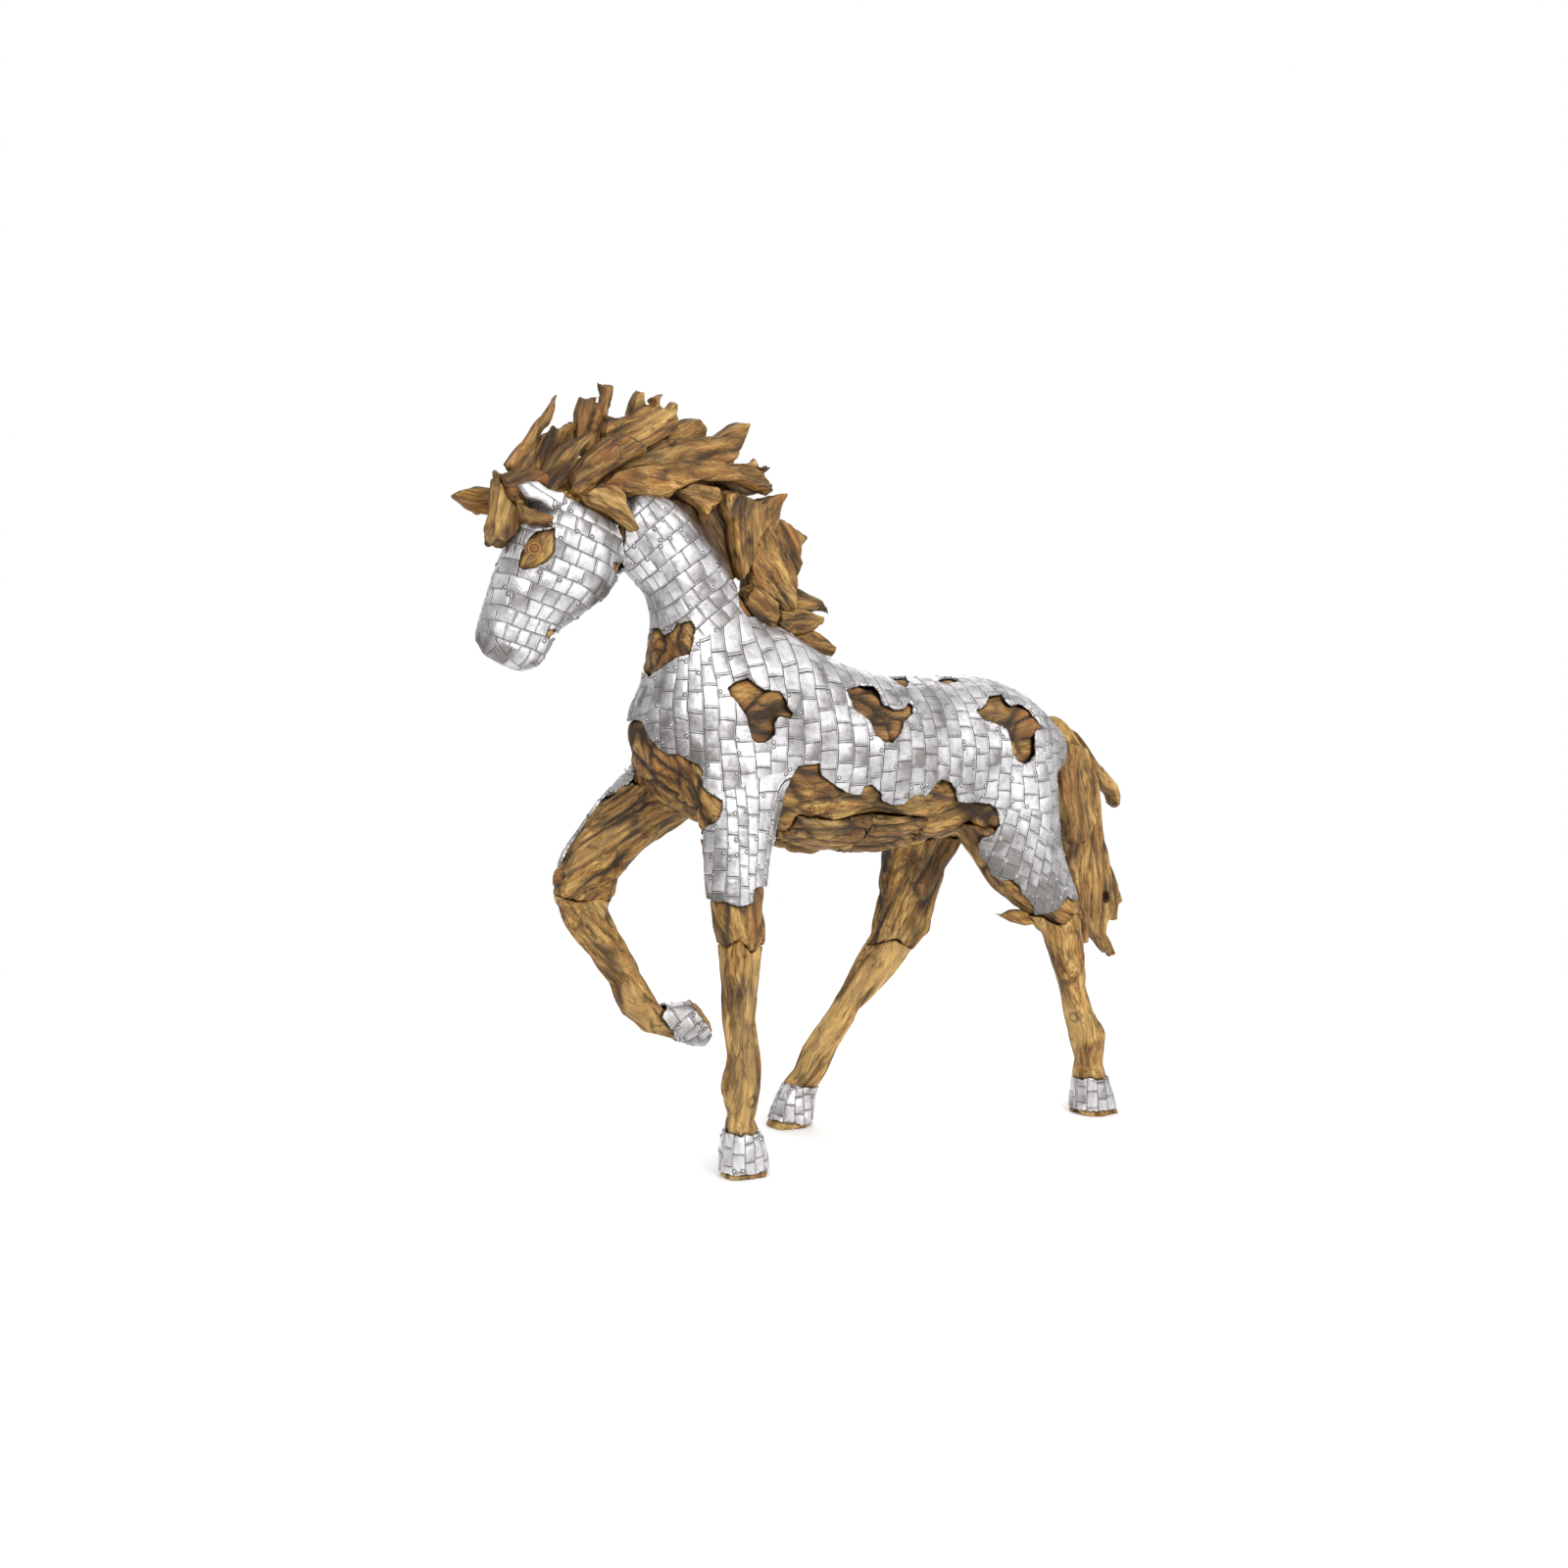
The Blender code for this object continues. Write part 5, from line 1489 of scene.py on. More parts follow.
@dataclass(frozen=True)
class TileFinish:
    """Pressed bright sheet metal: tiles that differ a little, dark engraved lines and raised beads,
    with painted highlights on the beads and painted shade across the tiles and in patches.
    """

    name: str = "hammered_metal_finish"
    bright: Colour = tint(230, 228, 230)
    grey: Colour = tint(128, 125, 123)
    line: Colour = tint(48, 43, 38)
    roughness: float = 0.34
    metallic: float = 0.92

    @staticmethod
    def tile_group(stroke: float = 0.050, stroke_in: float = 0.010, stroke_out: float = 0.038,
                   bead: float = 0.034, faint: tuple[float, float] = (0.30, 0.45),
                   ) -> bpy.types.NodeTree:
        """Build the group that draws the tiles, each placed as in brick().

        Args:
            stroke: how far from the seam the engraved line lies, in tiles.
            stroke_in: half the width of the line where it is full.
            stroke_out: half the width of the line where it ends.
            bead: how far from the seam the raised bead reaches.
            faint: how much of the line is left on the far side of a tile, across and along.

        Returns:
            The group.
        """
        tree, g, takes, gives = new_group(
            "pressed_tiles", {"Place": "Vector"},
            {"Line": "Float", "Bead": "Float", "Tile": "Float", "Tilt": "Float"})
        parts = g.add("ShaderNodeSeparateXYZ")
        g.feed(parts.inputs[0], takes.outputs["Place"])
        column = g.math("FLOOR", parts.outputs[0])
        hashed = g.math("FRACT", g.math("MULTIPLY", g.math("SINE", g.math("MULTIPLY", column, 1.7)),
                                        9.7))
        shift = g.math("MULTIPLY", g.math("FLOORED_MODULO", column, 2.0), 0.5)
        shift = g.math("MULTIPLY_ADD", hashed, 0.4, shift)
        along = g.math("ADD", parts.outputs[1], shift)
        row = g.math("FLOOR", along)
        u = g.math("SUBTRACT", parts.outputs[0], column)
        v = g.math("SUBTRACT", along, row)
        chance = g.add("ShaderNodeTexWhiteNoise", noise_dimensions="3D")
        g.feed(chance.inputs["Vector"], g.given("ShaderNodeCombineXYZ", (column, row)))
        lots = g.add("ShaderNodeSeparateColor")
        g.feed(lots.inputs[0], chance.outputs["Color"])
        strokes = []
        beads = []
        for value, left in zip((u, v), faint):
            near = g.math("MINIMUM", value, g.math("SUBTRACT", 1.0, value))
            off = g.math("ABSOLUTE", g.math("SUBTRACT", near, stroke))
            line = g.span(off, stroke_in, stroke_out, 1.0, 0.0)
            strokes.append(g.math("MULTIPLY", line, g.span(value, 0.4, 0.6, 1.0, left)))
            beads.append(g.span(near, 0.010, bead, 1.0, 0.0))
        patchy = g.span(g.noise(takes.outputs["Place"], 2.3, 3.0), 0.32, 0.55, 0.45, 1.0)
        g.feed(gives.inputs["Line"], g.math("MULTIPLY", g.math("MAXIMUM", *strokes), patchy))
        g.feed(gives.inputs["Bead"], g.math("MAXIMUM", *beads))
        g.feed(gives.inputs["Tile"], chance.outputs["Value"])
        lean = g.math("MULTIPLY", g.math("SUBTRACT", u, 0.5),
                      g.math("SUBTRACT", lots.outputs[0], 0.5))
        lean = g.math("MULTIPLY_ADD", g.math("SUBTRACT", v, 0.5),
                      g.math("SUBTRACT", lots.outputs[1], 0.5), lean)
        g.feed(gives.inputs["Tilt"], lean)
        return tree

    def build(self, group: bpy.types.NodeTree) -> bpy.types.Material:
        """Make the material round the tile group.

        Args:
            group: tile_group()'s.

        Returns:
            The material.
        """
        material, g, shader, tiles, height = new_material(self.name, group, 1.0)
        g.feed(tiles.inputs["Place"], g.add("ShaderNodeUVMap", uv_map="tiles").outputs[0])
        line, bead, tile, tilt = (tiles.outputs[name] for name in ("Line", "Bead", "Tile", "Tilt"))
        where = g.add("ShaderNodeTexCoord").outputs["Object"]
        ring, painted_shade = g.attribute("ring"), g.attribute("painted_shade")
        speckle = g.span(g.noise(where, 95.0, 3.0, 0.65), 0.50, 0.62)
        soil = g.math("MULTIPLY", speckle, g.math("MULTIPLY", g.attribute("edge"), 0.65))
        # Soil speckles by the torn edges are the metal's own; the nail rings bring painted shade.
        line = g.math("MAXIMUM", line, g.math("MAXIMUM", soil, ring), clamp=True)
        # Grey share: tile tone, broad clouds and smears are the metal's own; the tilt across each
        # tile adds painted shade and highlight, and the round patches add painted shade.
        share = g.math("MULTIPLY_ADD", g.span(tile, 0.35, 1.0), 0.38, 0.10)
        cloud = g.span(g.noise(where, 6.0, 3.0, 0.6), 0.38, 0.66)
        smear = g.span(g.noise(where, 55.0, 4.0, 0.7), 0.44, 0.70)
        share = g.total(share, (tilt, 1.1), (cloud, 0.38), (smear, 0.26))
        share = g.math("ADD", painted_shade, share, clamp=True)
        colour = g.mix(share, self.bright, self.grey)
        # Painted highlight on the raised bead beside each seam.
        colour = g.mix(g.math("MULTIPLY", bead, 0.45), colour, self.bright)
        colour = g.mix(g.math("MULTIPLY", line, 0.97), colour, self.line)
        g.feed(shader.inputs["Base Color"], colour)
        g.feed(shader.inputs["Metallic"], g.total(self.metallic, (line, -0.6)))
        rough = g.total(self.roughness, (tile, 0.12), (painted_shade, 0.12), (line, 0.25))
        g.feed(shader.inputs["Roughness"], rough)
        g.feed(height, g.total(g.math("MULTIPLY", tiles.outputs["Line"], -0.0012), (bead, 0.0008),
                               (tilt, 0.0075), (g.noise(where, 34.0, 3.0), 0.0030),
                               (g.noise(where, 420.0, 1.0), 0.00008)))
        return material


@dataclass
class Palette:
    """Every finish, built once."""

    wood: bpy.types.Material = field(init=False)
    dark_wood: bpy.types.Material = field(init=False)
    metal: bpy.types.Material = field(init=False)

    def __post_init__(self) -> None:
        """Build the groups and the materials that share them."""
        grain = WoodFinish.grain_group()
        self.wood = WoodFinish().build(grain)
        self.dark_wood = WoodFinish(
            name="dark_root_wood_finish", light=tint(140, 108, 66), ochre=tint(110, 80, 44),
            brown=tint(82, 57, 31), dark=tint(52, 35, 19), orange=tint(98, 64, 32),
            burnt=tint(44, 28, 17)).build(grain)
        self.metal = TileFinish().build(TileFinish.tile_group())


# Wood


@dataclass(frozen=True)
class WoodCut:
    """How a piece of wood is worked, in metres: its skin, slabs, furrows, lumps and knots."""

    pitch: float = 0.0055
    slab_wide: float = 0.055
    slab_long: float = 0.30
    crack: float = 0.0050
    step: float = 0.0035
    furrow: float = 0.0024
    furrow_wide: float = 0.022
    furrow_long: float = 0.150
    lump: float = 0.0030
    sway: float = 0.0
    swell: float = 0.0
    side_shade: float = 0.0
    knot: float = 0.0030
    warmth: float = 0.12
    variety: float = 0.70
    window_warmth: float = 0.0
    window_low: float = 0.98
    shade: float = 0.0
    seat_drop: float = 0.0
    soften: int = 4
    along: tuple[float, float, float] | None = None
    over_breast: bool = False


def grain_axes(points: np.ndarray, along: tuple[float, float, float] | None) -> np.ndarray:
    """Rows of the thin, the wide and the long direction of a piece.

    They are the axes of how its points spread, least first. Where a direction is given, the grain
    runs along that, and the other two are square to it.

    Args:
        points: places in the row frame, one to a row.
        along: the grain's direction, if it is given.

    Returns:
        Three rows of length one.
    """
    spread = np.linalg.eigh(np.cov((points - points.mean(axis=0)).T))[1].T
    rows = [row if row[np.argmax(np.abs(row))] > 0.0 else -row for row in spread]
    if along is None:
        return np.stack(rows)
    run = np.array(along) / np.linalg.norm(along)
    thin = np.cross(run, (0.0, 0.0, 1.0))
    thin /= np.linalg.norm(thin)
    return np.stack((thin, np.cross(run, thin), run))


def over_breast(drawn: np.ndarray, front: float = -0.13, pivot: float = 1.0,
                steepest_deg: float = 72.0, radius: float = 0.19,
                turned_by: float = 0.20) -> np.ndarray:
    """Places along a grain that runs along the barrel and turns down over the breast.

    In front of the barrel the length is unrolled round the breast, and the grain turns about the
    pivot by an angle that grows with the unrolled length.

    Args:
        drawn: places in the drawing's frame.
        front: where the barrel ends and the breast begins.
        pivot: the height about which the grain turns.
        steepest_deg: the greatest angle.
        radius: of the breast, seen from above.
        turned_by: the unrolled length after which the grain is steepest.

    Returns:
        The thin, the wide and the long place of each point.
    """
    x, side, up = drawn[:, 0], np.abs(drawn[:, 1]), drawn[:, 2] - pivot
    ahead = np.maximum(front - x, 0.0)
    length = np.where(x < front, -radius * np.arctan2(ahead, side), x - front)
    angle = math.radians(steepest_deg) * ramp(0.0, turned_by, -length)
    return np.stack((np.hypot(ahead, side),
                     length * np.sin(angle) + up * np.cos(angle),
                     length * np.cos(angle) - up * np.sin(angle)), axis=1)


@dataclass
class WoodPiece:
    """One wooden piece: a fine skin of its own solid, with slabs, furrows and knots cut in."""

    node: str
    seed: int
    cut: WoodCut = WoodCut()
    slot: Slot = Slot.WOOD
    near_metal: bool = False
    knot_every: float = 0.13
    knot_radius: float = 0.0085
    # Place and width of the ring round a knot, in its radii.
    knot_ring: tuple[float, float] = (1.5, 0.42)
    crack_reach: float = 0.0062
    furrow_reach: float = 0.30
    # A crack this deep would be all dark, and the share of dark in furrows and rings: painted shade
    # in these hollows, with the rings also darker in their own colour.
    dark_depth: float = 0.006
    furrow_shade: float = 0.62
    ring_dark: float = 0.6
    sway_waves: tuple[float, float, float] = (4.0, 6.0, 13.0)
    thin_sway: float = 0.8
    drift: float = 0.020
    drift_waves: tuple[float, float, float] = (9.0, 9.0, 5.0)
    lump_waves: float = 13.0
    # Below bare wood's own level: its rim beside the metal, its joints, and what metal covers.
    rim_drop: float = 0.0070
    rim_reach: float = 0.006
    joint_drop: float = 0.0085
    joint_reach: float = 0.0065
    cover_drop: float = 0.010
    cover_more: float = 0.017

    def swayed(self, skin: Shell, axes: np.ndarray) -> Shell:
        """Bend the outline to and fro: across by slow noise of the place along the grain.

        Args:
            skin: the plain skin.
            axes: rows as grain_axes() gives them.

        Returns:
            The bent skin.
        """
        place = (skin.points - skin.points.mean(axis=0)) @ axes.T
        slow = place * self.sway_waves
        moved = skin.points + self.cut.sway * noise(slow, self.seed + 7)[:, None] * axes[1]
        thin = self.thin_sway * self.cut.sway
        moved += thin * noise(slow * 1.3, self.seed + 8)[:, None] * axes[0]
        return Shell(moved, skin.faces)

    def worked(self, skin: Shell) -> tuple[Shell, np.ndarray, np.ndarray, np.ndarray]:
        """Cut the relief.

        Slabs are stretched cells with a crack at each border, each a little higher or lower
        than its neighbours. Furrows lie where noise that is drawn out along the grain passes
        through zero, lumps are slow noise, and a knot is a dome with a ring round it. Cracks and
        furrows are darkened with painted shade, the ring with its own dark colour and painted shade.

        Args:
            skin: the plain skin.

        Returns:
            The worked skin, and for each point its place along the grain, its dark marks and painted
            shade, and tone.
        """
        cut = self.cut
        axes = grain_axes(skin.points, cut.along)
        skin = self.swayed(skin, axes)
        place = (skin.points - skin.points.mean(axis=0)) @ axes.T
        if cut.over_breast:
            place = over_breast(skin.points - ORIGIN)
        drift = np.stack([noise(place * self.drift_waves, self.seed + k) for k in (1, 2)], axis=1)
        across = place[:, :2] + self.drift * drift
        cells = np.column_stack((across / cut.slab_wide, place[:, 2] / cut.slab_long))
        border, tone, _ = slab_cells(cells + self.seed * 3.7, self.seed)
        crack = bell(border * cut.slab_wide, max(self.crack_reach, 1.1 * cut.pitch))
        long = np.column_stack((across / cut.furrow_wide, place[:, 2] / cut.furrow_long))
        wave = noise(long, self.seed + 4)
        gate = ramp(-0.5, 0.4, noise(long * (0.5, 0.5, 1.2), self.seed + 5))
        furrow = bell(wave, self.furrow_reach) * gate
        lump = layered(skin.points * self.lump_waves, self.seed + 6, 2)
        knots = slab_cells(skin.points / self.knot_every, self.seed + 11)[2] * self.knot_every
        dome = bell(knots, self.knot_radius)
        ring = bell(knots / self.knot_radius - self.knot_ring[0], self.knot_ring[1])
        rise = (tone - 0.5) * 2.0 * cut.step * ramp(0.0, 0.3, border)
        rise += cut.furrow * (0.6 * wave - furrow) + cut.lump * lump - cut.crack * crack
        rise += cut.knot * (dome - 0.6 * ring)
        crack_and_shade = np.clip(cut.crack / self.dark_depth, 0.0, 0.9) * crack
        crack_and_shade += self.furrow_shade * furrow + self.ring_dark * ring
        facing = skin.normals()
        if self.near_metal:
            depth = covered(skin.points)
            bare = fading(-depth, self.rim_reach)
            joint = bell(METAL.seam(skin.points), self.joint_reach)
            rise -= self.rim_drop * bare + self.joint_drop * joint
            rise -= self.cover_drop * ramp(-0.001, 0.012, depth)
            rise -= self.cover_more * ramp(0.014, 0.04, depth)
            # Painted shadow on the bare wood along the metal's edge; the joints between chunks are
            # dark in their own colour.
            crack_and_shade = np.maximum(crack_and_shade, bare * ramp(-0.012, -0.001, depth))
            crack_and_shade = np.maximum(crack_and_shade, ramp(0.25, 0.8, joint))
        seat = ramp(0.45, 0.75, -facing[:, 2]) * ramp(0.12, 0.35, facing[:, 0])
        seat = seat * (cut.seat_drop > 0.0)
        rise = rise * (1.0 - seat) + cut.seat_drop * seat
        side = 1.0 - np.abs(facing @ axes[0])
        crack_and_shade = np.maximum(crack_and_shade, cut.side_shade * ramp(0.35, 0.95, side))
        crack_and_shade = crack_and_shade + cut.shade * (1.0 - crack_and_shade)
        points = skin.points + facing * rise[:, None]
        grain = np.column_stack((across, place[:, 2])) + self.seed * 0.37
        tone = tone * cut.variety + cut.warmth
        tone += cut.window_warmth * ramp(0.0, 0.06, skin.points[:, 2] - cut.window_low)
        return Shell(points, skin.faces), grain, np.clip(crack_and_shade, 0.0, 1.0), np.clip(tone, 0.0, 1.0)

    def build(self, source: bpy.types.Object, palette: Palette) -> bpy.types.Object:
        """Make the piece from its CAD node and let it stand for that node.

        Args:
            source: the node's object.
            palette: the finishes.

        Returns:
            The piece.
        """
        cut = self.cut
        skin = voxelled([source], cut.pitch, cut.swell).softened(cut.soften, cut.soften)
        skin, grain, crack_and_shade, tone = self.worked(skin)
        made = skin.held_in(whole_box()).as_object(self.node + "_skin")
        give_value(made, "grain", grain)
        give_value(made, "crack_and_shade", crack_and_shade)
        give_value(made, "tone", tone)
        dark = self.slot is Slot.DARK_WOOD
        return finished(made, palette.dark_wood if dark else palette.wood, self.node)


@dataclass
class CarvedEye:
    """An eye carved in the wood of the head: rings round a small dome, turned from one profile."""

    name: str
    side: float
    centre: tuple[float, float] = (-0.624, 1.557)
    seat_radius: float = 0.009
    head_radius: float = 0.10
    turns: int = 48
    tip: float = 0.0050
    unit: float = 0.00115
    tone: float = 0.75
    # Reach and rise of each ring, in units.
    profile: tuple[tuple[float, float], ...] = (
        (2.6, 4.7), (5.0, 3.8), (6.8, 2.2), (8.0, 0.8), (9.2, 1.7), (11.0, 3.0), (13.0, 3.0),
        (14.6, 1.6), (15.6, 0.8), (17.0, 1.8), (20.0, 2.2), (23.0, 0.8), (27.0, -3.5))

    def build(self, head: bpy.types.Object, palette: Palette) -> bpy.types.Object:
        """Set the eye on the head's skin, facing as the skin does there.

        Args:
            head: the head's piece.
            palette: the finishes.

        Returns:
            The eye.
        """
        skin = shell_of(head)
        target = np.array((self.centre[0], 0.0, self.centre[1])) + ORIGIN
        flat = np.hypot(*(skin.points - target)[:, (0, 2)].T)
        near = (flat < self.seat_radius) & (skin.points[:, 1] * self.side > 0.0)
        seat = skin.points[near].mean(axis=0)
        facing = skin.normals()[near].mean(axis=0)
        facing /= np.linalg.norm(facing)
        reach, rise = np.array(self.profile).T * self.unit
        # Painted shade in the sunk groove where the eye meets the head.
        dark = ramp(-0.0030, -0.0010, -rise)
        rings = np.stack((reach, rise - reach ** 2 / (2.0 * self.head_radius)), axis=1)
        shell = turned_forms(seat[None], facing[None], rings, self.tip, self.turns)
        made = shell.as_object(self.name)
        radial = np.append(np.repeat(reach, self.turns), 0.0)
        give_value(made, "grain", np.column_stack((radial * 2.0 + 3.1, radial * 0.0, radial)))
        give_value(made, "crack_and_shade", 0.8 * np.append(np.repeat(dark, self.turns), 0.0))
        give_value(made, "tone", np.full(len(shell.points), self.tone))
        return finished(made, palette.wood)


# Metal


@dataclass
class MetalSheet:
    """One sheet of tiles laid over the wood, cut to its torn outline."""

    name: str
    node: str
    keep: Callable[[np.ndarray], np.ndarray]
    patch: Patch | None = None
    lift: float = 0.0036
    pillow: float = 0.0016
    curl: float = 0.0014
    rim: float = 0.0065
    tear: float = 0.0018
    tear_waves: float = 70.0
    seam_reach: float = 0.0055
    dent: float = 0.0011
    dent_waves: float = 24.0
    curl_reach: float = 0.005
    fringe_reach: float = 0.009
    margin: float = 0.04
    smallest: int = 90

    def patches(self, points: np.ndarray) -> np.ndarray:
        """The tile patch of each point.

        Args:
            points: places in the row frame, one to a row.

        Returns:
            One whole number for each.
        """
        if self.patch is None:
            return patch_of(points)
        numbers = np.full(len(points), self.patch.value)
        if self.patch is Patch.HEAD:
            head = CHARTS[Patch.HEAD]
            numbers[head.along(points - ORIGIN) > MUZZLE_FROM] = Patch.MUZZLE.value
        return numbers

    def build(self, base: Shell, palette: Palette) -> tuple[bpy.types.Object, Shell]:
        """Cut the sheet from the joined skin, press its tiles and give it its finish.

        Each tile is a pillow: the sheet is sunk along the seams by a bell curve of the distance to
        the nearest. It curls out a little along its torn edge.

        Args:
            base: skin of all the wood under the metal.
            palette: the finishes.

        Returns:
            The sheet, and its outer surface for the nails.
        """
        low, high = (np.array(corner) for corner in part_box(self.node))
        close = (base.points > low - self.margin) & (base.points < high + self.margin)
        close = close.all(axis=1)
        local = Shell(base.points, base.faces[close[base.faces].all(axis=1)]).packed()
        facing = np.abs(local.normals() @ CAMERA.axes()[2])
        torn = self.tear * layered(local.points * self.tear_waves, 81, 2) * ramp(0.0, 0.6, facing)
        sheet = local.clipped(self.keep(local.points) + torn).without_islets(self.smallest)
        depth = self.keep(sheet.points)
        numbers = self.patches(sheet.points)
        inside, _, _ = brick(tile_places(sheet.points, numbers))
        seam = (np.minimum(inside, 1.0 - inside) * tile_sizes(numbers)).min(axis=1)
        rise = self.lift - self.pillow * bell(seam, self.seam_reach)
        rise += self.dent * noise(sheet.points * self.dent_waves, 71)
        rise += self.curl * fading(depth, self.curl_reach)
        outer = Shell(sheet.points + sheet.normals() * rise[:, None], sheet.faces)
        whole = outer.rimmed(self.rim)
        shown = whole.held_in(whole_box())
        made = shown.as_object(self.name)
        flat = np.concatenate((sheet.points, whole.points[len(outer.points):]))
        by_corner = np.repeat(self.patches(flat[shown.faces].mean(axis=1)), 3)
        give_tiles(made, tile_places(flat[shown.faces.reshape(-1)], by_corner))
        fringe = fading(depth, self.fringe_reach)
        folded = np.ones(len(whole.points) - len(outer.points))
        give_value(made, "edge", np.concatenate((fringe, folded)))
        give_value(made, "painted_shade", METAL.painted_shade(whole.points))
        return finished(made, palette.metal, self.node), outer


@dataclass
class NailHeads:
    """Small round nail heads near the corners of some tiles, each pressed into a shallow ring."""

    share: float = 0.10
    border_share: float = 0.34
    hoof_share: float = 0.5
    border: float = 0.022
    inset: float = 0.16
    from_edge: float = 0.009
    reach: float = 0.0042
    sides: int = 8
    tip: float = 0.003
    # Reach and rise of each ring in millimetres, and how much painted shade darkens it, most in the
    # groove round the head.
    profile: tuple[tuple[float, float, float], ...] = (
        (2.3, 2.6, 0.0), (3.7, 1.6, 0.05), (4.3, 0.4, 0.9), (5.6, 0.1, 0.95), (6.8, 0.6, 0.25),
        (8.2, -0.6, 0.0))
    seats: list[np.ndarray] = field(default_factory=list)
    facings: list[np.ndarray] = field(default_factory=list)

    def gather(self, sheet: MetalSheet, outer: Shell) -> None:
        """Choose the nails of one sheet: for a share of tile corners, the surface point there.

        Args:
            sheet: the sheet.
            outer: its outer surface.
        """
        numbers = sheet.patches(outer.points)
        inside, column, row = brick(tile_places(outer.points, numbers))
        near = np.minimum(inside, 1.0 - inside)
        gap = np.hypot(*((near - self.inset) * tile_sizes(numbers)).T)
        corner = (inside[:, 0] > 0.5) * 2 + (inside[:, 1] > 0.5)
        key = np.stack((column, row, corner + 4 * numbers), axis=1).astype(np.int64)
        chance = scrambled(key, 91)
        depth = sheet.keep(outer.points)
        limit = np.where(depth < self.border, self.border_share, self.share)
        hoof = (numbers >= Patch.LEFT_FORE_HOOF.value) & (numbers <= Patch.RIGHT_FORE_HOOF.value)
        limit = limit * np.where(hoof, self.hoof_share, 1.0)
        fit = np.flatnonzero((gap < self.reach) & (chance < limit) & (depth > self.from_edge))
        order = fit[np.argsort(gap[fit], kind="stable")]
        _, first = np.unique(key[order], axis=0, return_index=True)
        chosen = order[first]
        self.seats.append(outer.points[chosen])
        self.facings.append(outer.normals()[chosen])

    def build(self, palette: Palette) -> bpy.types.Object:
        """Turn one profile at every chosen place and join them all.

        Args:
            palette: the finishes.

        Returns:
            All the nail heads as one piece.
        """
        seat, facing = np.concatenate(self.seats), np.concatenate(self.facings)
        rings = np.array(self.profile)
        forms = turned_forms(seat, facing, rings[:, :2] * 0.001, self.tip, self.sides)
        made = forms.held_in(whole_box()).as_object("nail_heads")
        # Painted shade in the groove round each nail head, ring by ring.
        dark = np.append(np.repeat(rings[:, 2], self.sides), 0.0)
        give_value(made, "ring", np.tile(dark, len(seat)))
        give_tiles(made, np.full(forms.faces.size * 2, 0.5))
        LOG.info("%d nails", len(seat))
        return finished(made, palette.metal)


# The horse


LEG = WoodCut(slab_wide=0.060, slab_long=0.45, crack=0.0016, step=0.0018, furrow=0.0030,
              furrow_wide=0.018, lump=0.0040, knot=0.0045, warmth=-0.20, variety=0.80)
UPPER_LEG = replace(LEG, slab_wide=0.045, slab_long=0.30, crack=0.0042, step=0.0030, lump=0.0046,
                    warmth=0.08, variety=0.66, side_shade=0.34)
TRUNK_CUT = WoodCut(pitch=0.0084, slab_wide=0.080, slab_long=0.20, crack=0.0060, step=0.005,
                    furrow=0.0042, furrow_wide=0.030, furrow_long=0.110, lump=0.006, warmth=0.28,
                    variety=0.36, window_warmth=0.26, shade=0.06, soften=16, over_breast=True)
BELLY = WoodCut(slab_wide=0.052, slab_long=0.22, crack=0.009, step=0.006, furrow=0.0055,
                furrow_wide=0.026, furrow_long=0.100, lump=0.005, warmth=0.26, variety=0.30,
                shade=0.25, soften=3, along=(1.0, 0.0, 0.06))
NECK_CUT = WoodCut(pitch=0.0075, slab_wide=0.06, slab_long=0.20, crack=0.003, seat_drop=0.012,
                   soften=30)
HEAD_CUT = WoodCut(pitch=0.0060, slab_wide=0.08, slab_long=0.25, crack=0.002, step=0.001,
                   soften=5, warmth=0.15)
LOCK = WoodCut(pitch=0.0040, slab_wide=0.034, slab_long=0.24, crack=0.0022, step=0.0022,
               furrow=0.0044, furrow_wide=0.019, furrow_long=0.120, lump=0.0036, sway=0.0060,
               swell=0.0030, side_shade=0.78, soften=5)

WIDE_LOCK = replace(LOCK, swell=0.0085, sway=0.0030)

CUTS: dict[str, WoodCut] = {"trunk_wood": TRUNK_CUT, "neck": NECK_CUT, "head": HEAD_CUT,
                            "belly_slab_front": BELLY, "belly_slab_rear": BELLY}
for _upper, _lower in (("forearm", "fore_cannon"), ("thigh", "hind_cannon")):
    for _side in ("left", "right"):
        CUTS[f"{_side}_{_upper}"] = UPPER_LEG
        CUTS[f"{_side}_{_lower}"] = LEG
CLAD = tuple(CUTS)  # the metal lies on these
CUTS |= dict.fromkeys(("mane_block", "mane_slab_high", "mane_ridged", "mane_blade"), WIDE_LOCK)
EAR_FACING = np.array((-0.25, -0.97, 0.0))


